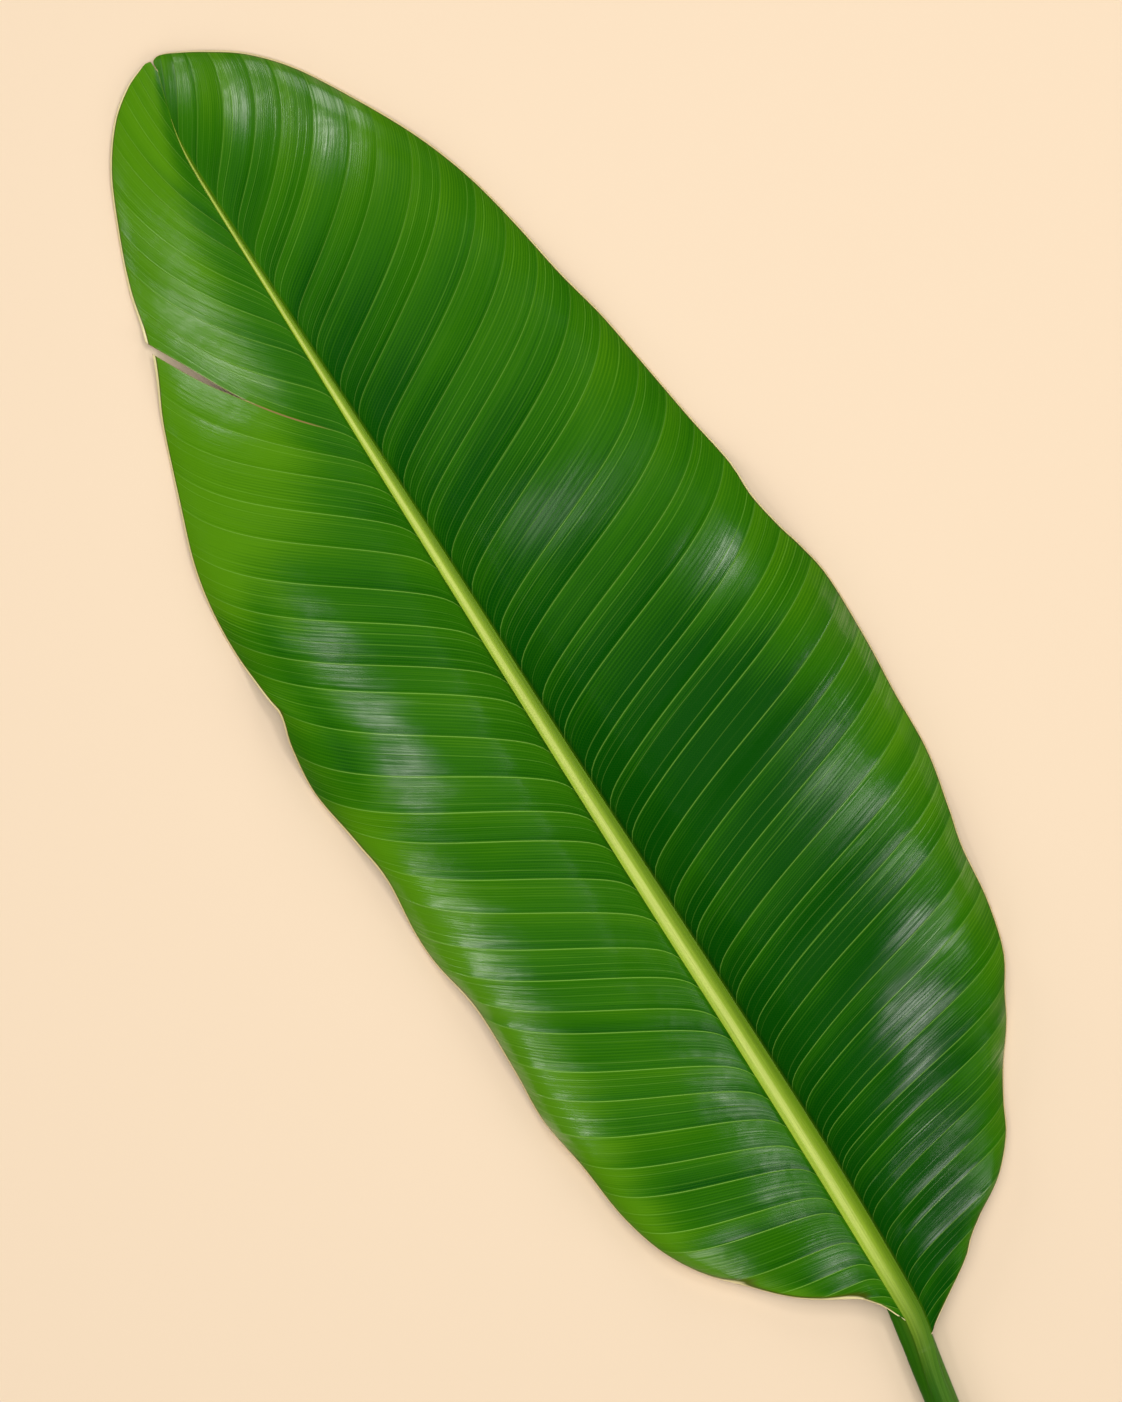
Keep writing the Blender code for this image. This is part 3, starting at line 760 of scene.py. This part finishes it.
def grain(tree, place, scale, detail=2.0, roughness=0.5):
    inputs = {"Vector": place, "Scale": scale, "Detail": detail, "Roughness": roughness}
    return put(tree, "ShaderNodeTexNoise", inputs).outputs["Fac"]


def long_grain(tree, across, along, scales, detail=2.0, roughness=0.5):
    """A stretched noise. The scales say how fine it is across and along."""
    place = join(tree, times(tree, across, scales[0]), times(tree, along, scales[1]))
    return grain(tree, place, 1.0, detail, roughness)


def bumps(tree, *layers):
    """A normal from layers laid on each other, each a height from 0 to 1 and its size in metres."""
    normal = None
    for height, distance in layers:
        inputs = {"Height": height, "Distance": distance, "Strength": 1.0}
        if normal is not None:
            inputs["Normal"] = normal
        normal = put(tree, "ShaderNodeBump", inputs).outputs["Normal"]
    return normal


def leaf_y(*places):
    """Places along the leaf, given from the blade's base, in the model's frame."""
    return tuple(place + SHIFT[1] for place in places)


# The blade's colours
DARK_GREEN = (0.0010, 0.056, 0.0005, 1)
FULL_GREEN = (0.0190, 0.122, 0.0008, 1)
BRIGHT_GREEN = (0.0750, 0.228, 0.0030, 1)
VEIN_GREEN = (0.230, 0.480, 0.060, 1)
RIB_GREEN = (0.130, 0.270, 0.005, 1)
TORN_BROWN = (0.300, 0.170, 0.070, 1)
MARGIN_BROWN = (0.070, 0.050, 0.004, 1)
MARGIN_CREAM = (0.900, 0.800, 0.420, 1)
UNDER_GREENS = ((0.060, 0.170, 0.032, 1), (0.100, 0.240, 0.052, 1))
UNDER_VEIN = (0.190, 0.330, 0.110, 1)
UNDER_FINER_VEIN = (0.150, 0.290, 0.090, 1)
RIM_COLOURS = ((0.640, 0.600, 0.270, 1), (0.760, 0.600, 0.330, 1))
NO_VEIN = (0, 0, 0, 1)
ALL_VEIN = (1, 1, 1, 1)

# The veins' pattern, counted in bands across the veins. A band is the strip from one main vein to the next. A
# line goes from full to nothing between its two numbers. A pair of scales is per band, and per metre along.
MAIN_LINE = (0.005, 0.023)
FINER_LINE = (0.01, 0.08)
FINER_VEINS = 4.0
FINER_WANDER = 0.12
THREADS = 13.0
NET_SCALES = (26.0, 700.0)
# How pale the main veins are in the wider and in the narrower half, the finer ones, and the net
MAIN_PALE = (0.42, 0.62)
FINER_PALE = 0.22
NET_PALE = 0.03
# How high the upper face stands at each, in metres
PATCH_RELIEF = 0.0007
STREAK_RELIEF = 0.00012
THREAD_RELIEF = 0.00003
FINER_RELIEF = 0.00007
MAIN_RELIEF = 0.00016
# How fine each stretched noise is
WANDER_SCALES = (1.0, 9.0)
PATCH_SCALES = (1.3, 20.0)
CHOICE_SCALES = (2.9, 2.5)
STREAK_SCALES = (20.0, 14.0)
BAND_TONE_SCALES = (0.8, 4.0)

# The tone, from 0 for dark to 1 for bright green. It is partly the leaf's own uneven green and partly painted
# light and shade: the wider half is painted darker near the midrib, the narrower half is painted brighter,
# and a painted shaded stretch lies in the narrower half. A slope is two values of t and the tone at each. Low
# is the part toward the stalk, high the part toward the tip, and they meet between two values of y.
WIDER_LOW = (0.40, 1.00, 0.05, 0.62)
WIDER_HIGH = (0.05, 0.80, 0.16, 0.50)
WIDER_MEETS = (0.42, 0.56)
WIDER_TIP = (0.68, 0.80)
WIDER_TIP_TONE = 0.16
NARROWER_LOW = (0.50, 0.88, 0.42, 1.00)
NARROWER_HIGH = (0.10, 0.50, 0.38, 0.88)
NARROWER_MEETS = (0.56, 0.66)
SHADED_BEGINS = (0.42, 0.47)
SHADED_ENDS = (0.56, 0.62)
SHADED_INSIDE = (0.60, 0.75)
SHADED_TONE = -0.42
PATCH_TONE = 0.40
BAND_TONE = 0.45
STREAK_TONE = 0.42
THREAD_TONE = 0.34

# Where the blade's wax shines: y and x of the middle, half length and half width in metres, and strength
SHINE = (
    (0.045, 0.040, 0.014, 0.010, 0.50), (0.060, 0.066, 0.012, 0.016, 0.90),
    (0.085, 0.062, 0.012, 0.018, 0.80), (0.110, 0.070, 0.014, 0.013, 1.00),
    (0.142, 0.088, 0.018, 0.011, 0.90), (0.172, 0.104, 0.016, 0.013, 1.00),
    (0.203, 0.130, 0.018, 0.014, 0.90), (0.232, 0.160, 0.020, 0.018, 0.70),
    (0.118, 0.129, 0.010, 0.005, 0.60), (0.138, 0.141, 0.009, 0.006, 0.60),
    (0.296, 0.148, 0.034, 0.026, 0.65), (0.352, 0.172, 0.018, 0.014, 0.90),
    (0.390, 0.180, 0.018, 0.012, 1.50), (0.462, 0.140, 0.012, 0.016, 0.55),
    (0.540, 0.075, 0.014, 0.028, 0.30), (0.818, 0.072, 0.022, 0.014, 1.50),
    (0.855, 0.045, 0.022, 0.014, 1.60), (0.885, 0.016, 0.012, 0.012, 1.20),
    (0.060, -0.020, 0.018, 0.010, 0.50), (0.110, -0.022, 0.035, 0.010, 0.55),
    (0.165, -0.022, 0.035, 0.010, 0.50), (0.230, -0.022, 0.035, 0.010, 0.30),
    (0.310, -0.020, 0.050, 0.012, 0.12), (0.400, -0.020, 0.055, 0.014, 0.12),
    (0.465, -0.020, 0.030, 0.012, 0.10), (0.097, -0.075, 0.012, 0.013, 1.50),
    (0.213, -0.117, 0.010, 0.008, 1.50), (0.275, -0.112, 0.038, 0.013, 1.50),
    (0.345, -0.114, 0.040, 0.014, 1.50), (0.440, -0.088, 0.020, 0.010, 1.00),
    (0.480, -0.088, 0.028, 0.010, 1.10), (0.535, -0.090, 0.028, 0.010, 0.70),
    (0.712, -0.068, 0.022, 0.018, 1.60), (0.752, -0.067, 0.020, 0.015, 1.50),
    (0.800, -0.055, 0.026, 0.016, 0.80),
)
SHINE_WANDER = 0.030
LEAST_WAX = 0.01


def main_veins(tree, band, t):
    """A thin line on each main vein, fainter toward the margin."""
    line = band_pass(tree, calc(tree, "PINGPONG", band, 0.5), *MAIN_LINE, 1.0, 0.0)
    return times(tree, line, band_pass(tree, t, 0.60, 1.0, 1.0, 0.45))


def finer_veins(tree, band, run, choice):
    """A few thinner lines in each band, which wander a little and are missing in places."""
    wander = less(tree, long_grain(tree, band, run, WANDER_SCALES), 0.5)
    place = times(tree, add_share(tree, wander, FINER_WANDER, band), FINER_VEINS)
    line = band_pass(tree, calc(tree, "PINGPONG", place, 0.5), *FINER_LINE, 1.0, 0.0)
    return times(tree, line, band_pass(tree, choice, 0.40, 0.62))


def cross_net(tree, band, run):
    """The net of the finest veins, as the mortar of a brick pattern."""
    bricks = put(tree, "ShaderNodeTexBrick", {
        "Vector": join(tree, times(tree, run, NET_SCALES[1]), times(tree, band, NET_SCALES[0])),
        "Color1": NO_VEIN, "Color2": NO_VEIN, "Mortar": ALL_VEIN,
        "Scale": 1.0, "Mortar Size": 0.10, "Mortar Smooth": 0.6, "Brick Width": 1.0, "Row Height": 1.0,
    }, offset=0.37)
    net, _, _ = split(tree, bricks.outputs["Color"])
    return net


def vein_pattern(tree):
    """Where a place is among the veins, and what both faces show of them."""
    band, run, _ = split(tree, uv(tree, "Veins"))
    t, inset, _ = split(tree, uv(tree, "Across"))
    choice = long_grain(tree, band, run, CHOICE_SCALES)
    return {
        "band": band,
        "run": run,
        "t": t,
        "inset": inset,
        "choice": choice,
        "main": main_veins(tree, band, t),
        "finer": finer_veins(tree, band, run, choice),
        "streak": long_grain(tree, band, run, STREAK_SCALES, 4.0, 0.6),
    }


def upper_pattern(tree):
    """The veins' pattern with what only the upper face shows."""
    veins = vein_pattern(tree)
    band = veins["band"]
    run = veins["run"]
    veins["narrower"] = calc(tree, "GREATER_THAN", band, (VEINS + NARROWER_BANDS) / 2)
    veins["thread"] = calc(tree, "PINGPONG", times(tree, band, THREADS), 0.5)
    veins["net"] = cross_net(tree, band, run)
    veins["patch"] = long_grain(tree, band, run, PATCH_SCALES, 3.0)
    return veins


# Partly painted shade: the wider half is darker toward the midrib and brighter toward the margin and the tip.
def wider_tone_and_painted_shade(tree, t, y):
    low = band_pass(tree, t, *WIDER_LOW)
    high = band_pass(tree, t, *WIDER_HIGH)
    tone = pick(tree, band_pass(tree, y, *leaf_y(*WIDER_MEETS)), low, high)
    return calc(tree, "ADD", tone, band_pass(tree, y, *leaf_y(*WIDER_TIP), 0.0, WIDER_TIP_TONE))


# Partly painted light: the narrower half is brighter, most toward its margin, with a painted shaded stretch
# part way up.
def narrower_tone_and_painted_light(tree, t, y):
    low = band_pass(tree, t, *NARROWER_LOW)
    high = band_pass(tree, t, *NARROWER_HIGH)
    tone = pick(tree, band_pass(tree, y, *leaf_y(*NARROWER_MEETS)), low, high)
    begins = band_pass(tree, y, *leaf_y(*SHADED_BEGINS))
    ends = band_pass(tree, y, *leaf_y(*SHADED_ENDS), 1.0, 0.0)
    shaded = times(tree, times(tree, begins, ends), band_pass(tree, t, *SHADED_INSIDE))
    return add_share(tree, shaded, SHADED_TONE, tone)


def painted_pleat_shade(tree, band):
    """Painted light and shade of the pleats: brighter up to each main vein's crest, and darker behind it."""
    in_band = calc(tree, "FRACT", band)
    toward_crest = band_pass(tree, in_band, 0.25, 1.0, -0.06, 0.10)
    behind_crest = band_pass(tree, in_band, 0.0, 0.30, -0.10, 0.0)
    return calc(tree, "ADD", toward_crest, behind_crest)


def leaf_tone(tree, veins, x, y):
    """How bright the green is, from 0 to 1: by place on the blade, partly painted light and shade, by band,
    with the pleats' painted light and shade, and by streak.
    """
    t = veins["t"]
    tone = pick(tree, veins["narrower"], wider_tone_and_painted_shade(tree, t, y), narrower_tone_and_painted_light(tree, t, y))
    patches = less(tree, grain(tree, join(tree, x, y), 9.0), 0.5)
    tone = add_share(tree, patches, PATCH_TONE, tone)
    by_band = less(tree, long_grain(tree, veins["band"], veins["run"], BAND_TONE_SCALES, 1.0), 0.5)
    tone = add_share(tree, by_band, BAND_TONE, tone)
    toward_tip = band_pass(tree, y, *leaf_y(0.30, 0.70), 1.0, 0.55)
    # Painted pleat light and shade, weaker toward the tip.
    tone = add_share(tree, painted_pleat_shade(tree, veins["band"]), toward_tip, tone)
    tone = add_share(tree, less(tree, veins["streak"], 0.5), STREAK_TONE, tone)
    return add_share(tree, less(tree, veins["thread"], 0.25), THREAD_TONE, tone)


def green_of(tree, tone):
    dark = blend_colour(tree, band_pass(tree, tone, 0.0, 0.45), DARK_GREEN, FULL_GREEN)
    return blend_colour(tree, band_pass(tree, tone, 0.35, 1.0), dark, BRIGHT_GREEN)


def pale_veins(tree, veins, y):
    """How much of the veins' pale green shows at a place."""
    main = times(tree, veins["main"], pick(tree, veins["narrower"], *MAIN_PALE))
    main = times(tree, main, band_pass(tree, y, *leaf_y(0.35, 0.75), 1.0, 0.6))
    pale = calc(tree, "MAXIMUM", main, times(tree, veins["finer"], FINER_PALE))
    return calc(tree, "MAXIMUM", pale, times(tree, veins["net"], NET_PALE))


def beside_rib(tree, veins, y):
    """Where the midrib's yellow-green runs out into the blade, and its thin line from its end to the tip."""
    wider = band_pass(tree, veins["run"], 0.0002, 0.0022, 0.45, 0.0)
    narrower = band_pass(tree, veins["run"], 0.0002, 0.0010, 0.40, 0.0)
    line = band_pass(tree, veins["run"], 0.0001, 0.0006, 0.45, 0.0)
    past_end = band_pass(tree, y, *leaf_y(0.840, 0.862))
    return pick(tree, past_end, pick(tree, veins["narrower"], wider, narrower), line)


def margin_lines(tree, inset, colour):
    """A cream line along the margin, with a brown one inside it."""
    brown = band_pass(tree, inset, 0.0013, 0.0023, 0.70, 0.0)
    cream = band_pass(tree, inset, 0.0009, 0.0014, 0.95, 0.0)
    colour = blend_colour(tree, brown, colour, MARGIN_BROWN)
    return blend_colour(tree, cream, colour, MARGIN_CREAM)


def tear_scar(tree, veins):
    """A brown line on the torn vein, from a little out of the midrib to where the gap opens."""
    from_tear = calc(tree, "ABSOLUTE", less(tree, veins["band"], NARROWER_BANDS + TEAR_VEIN))
    line = band_pass(tree, from_tear, 0.010, 0.035, 1.0, 0.0)
    begins = band_pass(tree, veins["t"], 0.08, 0.25, 0.0, 0.9)
    opens = band_pass(tree, veins["t"], 0.44, 0.56, 1.0, 0.30)
    return times(tree, line, times(tree, begins, opens))


def shine(tree, x, y):
    """How much the wax shines at a place, from its spots of shine."""
    total = 0.0
    for middle_y, middle_x, half_length, half_width, strength in SHINE:
        along = add_share(tree, y, 1 / half_length, -(middle_y + SHIFT[1]) / half_length)
        across = add_share(tree, x, 1 / half_width, -(middle_x + SHIFT[0]) / half_width)
        far = add_share(tree, along, along, times(tree, across, across))
        spot = calc(tree, "POWER", 0.5, far)
        total = add_share(tree, spot, strength, total)
    return total


def wax_coat(tree, veins, x, y):
    """The weight of the wax: its spots of shine, with uneven edges, broken up by streaks and bands."""
    wander = times(tree, less(tree, veins["patch"], 0.5), SHINE_WANDER)
    wax = shine(tree, calc(tree, "ADD", x, wander), less(tree, y, wander))
    streaks = band_pass(tree, veins["streak"], 0.28, 0.72, 0.10, 1.50)
    by_choice = band_pass(tree, veins["choice"], 0.3, 0.7, 0.6, 1.3)
    wax = times(tree, wax, times(tree, streaks, by_choice))
    return calc(tree, "MINIMUM", calc(tree, "ADD", wax, LEAST_WAX), 1.0)


def upper_face():
    """The blade's upper face: waxy deep green with pale veins."""
    material, tree, shader = new_material("blade_upper_face")
    veins = upper_pattern(tree)
    place = on_piece(tree)
    x, y, _ = split(tree, place)
    colour = green_of(tree, leaf_tone(tree, veins, x, y))
    colour = blend_colour(tree, pale_veins(tree, veins, y), colour, VEIN_GREEN)
    colour = blend_colour(tree, beside_rib(tree, veins, y), colour, RIB_GREEN)
    colour = margin_lines(tree, veins["inset"], colour)
    colour = blend_colour(tree, tear_scar(tree, veins), colour, TORN_BROWN)
    normal = bumps(
        tree, (grain(tree, place, 45.0), PATCH_RELIEF), (veins["streak"], STREAK_RELIEF),
        (veins["thread"], THREAD_RELIEF), (veins["finer"], FINER_RELIEF), (veins["main"], MAIN_RELIEF),
    )
    give(tree, shader, {
        "Base Color": colour,
        "Roughness": band_pass(tree, veins["streak"], 0.2, 0.8, 0.38, 0.52),
        "Specular IOR Level": 0.01,
        "Coat Weight": wax_coat(tree, veins, x, y),
        "Coat Roughness": 0.22,
        "Coat IOR": 1.65,
        "Normal": normal,
        "Coat Normal": normal,
    })
    return material


def lower_face():
    """The blade's lower face: paler, duller green, with the veins standing out."""
    material, tree, shader = new_material("blade_lower_face")
    veins = vein_pattern(tree)
    colour = blend_colour(tree, grain(tree, on_piece(tree), 9.0, 3.0), *UNDER_GREENS)
    colour = blend_colour(tree, times(tree, veins["main"], 0.7), colour, UNDER_VEIN)
    colour = blend_colour(tree, times(tree, veins["finer"], 0.3), colour, UNDER_FINER_VEIN)
    normal = bumps(tree, (veins["streak"], 0.00025), (veins["main"], 0.00060), (veins["finer"], 0.00025))
    give(tree, shader, {"Base Color": colour, "Roughness": 0.58, "Normal": normal})
    return material


def margin_edge():
    """The thin dry rim round the blade and along the tear."""
    material, tree, shader = new_material("blade_margin")
    patches = band_pass(tree, grain(tree, on_piece(tree), 40.0, 3.0), 0.35, 0.65)
    give(tree, shader, {"Base Color": blend_colour(tree, patches, *RIM_COLOURS), "Roughness": 0.6})
    return material


# The colours of the stalk and the midrib, most in pairs that a noise or the way round blends. The midrib's
# limes are painted lighter toward minus x and darker toward plus x as light and shade, its pale line is
# partly a painted highlight, and the stalk's deep greens are partly painted shade on its side toward minus x.
LIT_AND_SHADED_LIMES = ((0.310, 0.450, 0.030, 1), (0.110, 0.220, 0.003, 1))
PALE_LINE_AND_HIGHLIGHT = (0.600, 0.690, 0.170, 1)
KEEL_GREENS = ((0.120, 0.240, 0.030, 1), (0.210, 0.330, 0.060, 1))
DEEP_AND_SHADED_GREENS = ((0.012, 0.078, 0.0010, 1), (0.028, 0.120, 0.0020, 1))
STALK_GREENS = ((0.028, 0.120, 0.003, 1), (0.080, 0.195, 0.020, 1))
STALK_BROWN = (0.075, 0.060, 0.012, 1)
CUT_COLOURS = ((0.120, 0.160, 0.050, 1), (0.520, 0.580, 0.300, 1))
# How fine the fibres are, per corner round the outline and per metre along it
FIBRE_SCALES = (9.0, 12.0)
WIDE_FIBRE_SCALES = (2.2, 5.0)


def rib_colour(tree, around, rough_around, y, wide_fibres, deep):
    """Lime above, painted lighter toward minus x and darker toward plus x as light and shade, with a pale
    line toward minus x that is partly a painted highlight, and a green keel, deep green near the stalk.
    """
    # Painted light and shade: the lime is lighter toward minus x and darker toward plus x.
    lime = blend_colour(tree, band_pass(tree, rough_around, -0.5, 1.6), *LIT_AND_SHADED_LIMES)
    from_line = calc(tree, "ABSOLUTE", calc(tree, "ADD", rough_around, 0.7))
    line = band_pass(tree, from_line, 0.2, 0.9, 0.75, 0.0)
    line = times(tree, line, band_pass(tree, y, -0.010, 0.110, 0.10, 1.0))
    # The pale line is partly a painted highlight.
    lime = blend_colour(tree, line, lime, PALE_LINE_AND_HIGHLIGHT)
    keel = blend_colour(tree, wide_fibres, *KEEL_GREENS)
    keel = blend_colour(tree, band_pass(tree, y, 0.060, 0.200), deep, keel)
    on_keel = band_pass(tree, calc(tree, "ABSOLUTE", around), 2.2, 3.6)
    return blend_colour(tree, on_keel, lime, keel)


def stalk_colour(tree, rough_around, wide_fibres, deep):
    """Green with faint brown patches, and deep green toward minus x, partly the stalk's own deep green and
    partly painted shade.
    """
    green = blend_colour(tree, wide_fibres, *STALK_GREENS)
    # Painted shade: the side toward minus x turns deep green.
    shadier = band_pass(tree, rough_around, -1.4, 0.4, 1.0, 0.0)
    green = blend_colour(tree, shadier, green, deep)
    brown = band_pass(tree, grain(tree, on_piece(tree), 25.0, 3.0), 0.5, 0.75, 0.0, 0.07)
    return blend_colour(tree, brown, green, STALK_BROWN)


def stalk_skin():
    """The stalk's green, turning yellow-green along the midrib, with lengthwise fibres."""
    material, tree, shader = new_material("stalk_and_midrib_skin")
    around, y, _ = split(tree, uv(tree, "Round"))
    fibres = long_grain(tree, around, y, FIBRE_SCALES, 4.0, 0.6)
    wide_fibres = long_grain(tree, around, y, WIDE_FIBRE_SCALES)
    rough_around = add_share(tree, wide_fibres, 0.8, less(tree, around, 0.4))
    deep = blend_colour(tree, wide_fibres, *DEEP_AND_SHADED_GREENS)
    rib = rib_colour(tree, around, rough_around, y, wide_fibres, deep)
    green = stalk_colour(tree, rough_around, wide_fibres, deep)
    to_rib = band_pass(tree, add_share(tree, wide_fibres, 0.040, y), -0.020, 0.090)
    colour = blend_colour(tree, to_rib, green, rib)
    darker = band_pass(tree, fibres, 0.30, 0.60, 0.78, 1.0)
    give(tree, shader, {
        "Base Color": blend_colour(tree, 1.0, colour, join(tree, darker, darker, darker), "MULTIPLY"),
        "Roughness": band_pass(tree, fibres, 0.2, 0.8, 0.30, 0.42),
        "Specular IOR Level": 0.05,
        "Coat Weight": 0.06,
        "Coat Roughness": 0.22,
        "Normal": bumps(tree, (fibres, 0.00022), (wide_fibres, 0.00045)),
    })
    return material


def cut_end():
    """The cut through the stalk: pale, with rows of air channels."""
    material, tree, shader = new_material("stalk_cut")
    cells = put(tree, "ShaderNodeTexVoronoi", {"Vector": on_piece(tree), "Scale": 900.0}).outputs["Distance"]
    wall = band_pass(tree, cells, 0.25, 0.50)
    colour = blend_colour(tree, wall, *CUT_COLOURS)
    give(tree, shader, {"Base Color": colour, "Roughness": 0.7, "Normal": bumps(tree, (wall, 0.0006))})
    return material


# The floor, the camera and the lamps
FLOOR_HALF = 4.0
FLOOR_DROP = 0.0004
FLOOR_COLOUR = (0.800, 0.640, 0.470, 1)
LAMP_COLOUR = (1.0, 0.98, 0.95)
SKY_COLOUR = (1.0, 0.97, 0.92, 1)
SKY_STRENGTH = 0.03
LIT_MIDDLE = (0.02, 0.45)
FILL_TURNS = (45, 135, 225, 315)
FILL_ZENITH = 62
FILL_DISTANCE = 3.0
FILL_SIZE = (1.6, 1.0)
FILL_POWER = 20
# The higher lamps: name, degrees from straight up, turn, distance, size and power
HIGH_LAMPS = (
    ("overhead", 0, 0, 2.6, (1.2, 2.0), 29),
    ("key", 24, -20, 2.6, (0.5, 1.2), 11),
    ("strip", 27, 172, 2.6, (0.35, 1.2), 9),
    ("tip", 29, 38, 2.6, (0.5, 0.8), 12),
)


def make_floor():
    bm = bmesh.new()
    bmesh.ops.create_grid(bm, x_segments=1, y_segments=1, size=FLOOR_HALF)
    bmesh.ops.translate(bm, vec=(0, 0, -FLOOR_DROP), verts=bm.verts)
    material, tree, shader = new_material("pale_floor")
    give(tree, shader, {"Base Color": FLOOR_COLOUR, "Roughness": 0.9, "Specular IOR Level": 0.1})
    floor = add_piece("pale_floor", bm, [material])


def leaf_point(x, y, z):
    """A place given from the blade's base, in the model's frame."""
    return x + SHIFT[0], y + SHIFT[1], z


def make_camera():
    camera_data = bpy.data.cameras.new("camera")
    camera_data.sensor_fit = "VERTICAL"
    camera_data.sensor_height = FILM_MM
    camera_data.lens = LENS_MM
    camera = bpy.data.objects.new("camera", camera_data)
    distance = VIEW_HEIGHT * LENS_MM / FILM_MM
    camera.location = leaf_point(*VIEW_MIDDLE, LEAF_PLANE + distance)
    camera.rotation_euler = (0, 0, VIEW_TURN)
    bpy.context.scene.collection.objects.link(camera)
    bpy.context.scene.camera = camera


def make_light(name, zenith, turn, distance, size, power):
    """A soft lamp that looks at the leaf's middle, by its angle from straight up and its turn from plus x."""
    lamp = bpy.data.lights.new(name, "AREA")
    lamp.shape = "RECTANGLE"
    lamp.size, lamp.size_y = size
    lamp.energy = power
    lamp.color = LAMP_COLOUR
    holder = bpy.data.objects.new(name, lamp)
    zenith = math.radians(zenith)
    turn = math.radians(turn)
    across = distance * math.sin(zenith)
    x, y, z = leaf_point(*LIT_MIDDLE, distance * math.cos(zenith))
    holder.location = (x + across * math.cos(turn), y + across * math.sin(turn), z)
    holder.rotation_euler = (0, zenith, turn)
    bpy.context.scene.collection.objects.link(holder)


def make_lights():
    """Four low fills all round, one lamp overhead, three whose shine the wax mirrors, and a faint sky."""
    for turn in FILL_TURNS:
        make_light("fill", FILL_ZENITH, turn, FILL_DISTANCE, FILL_SIZE, FILL_POWER)
    for lamp in HIGH_LAMPS:
        make_light(*lamp)
    world = bpy.data.worlds.new("studio")
    world.use_nodes = True
    background = world.node_tree.nodes["Background"]
    give(world.node_tree, background, {"Color": SKY_COLOUR, "Strength": SKY_STRENGTH})
    bpy.context.scene.world = world
    bpy.context.scene.view_settings.view_transform = "Standard"


make_camera()
make_blade()
make_stalk_and_midrib()
make_floor()
make_lights()
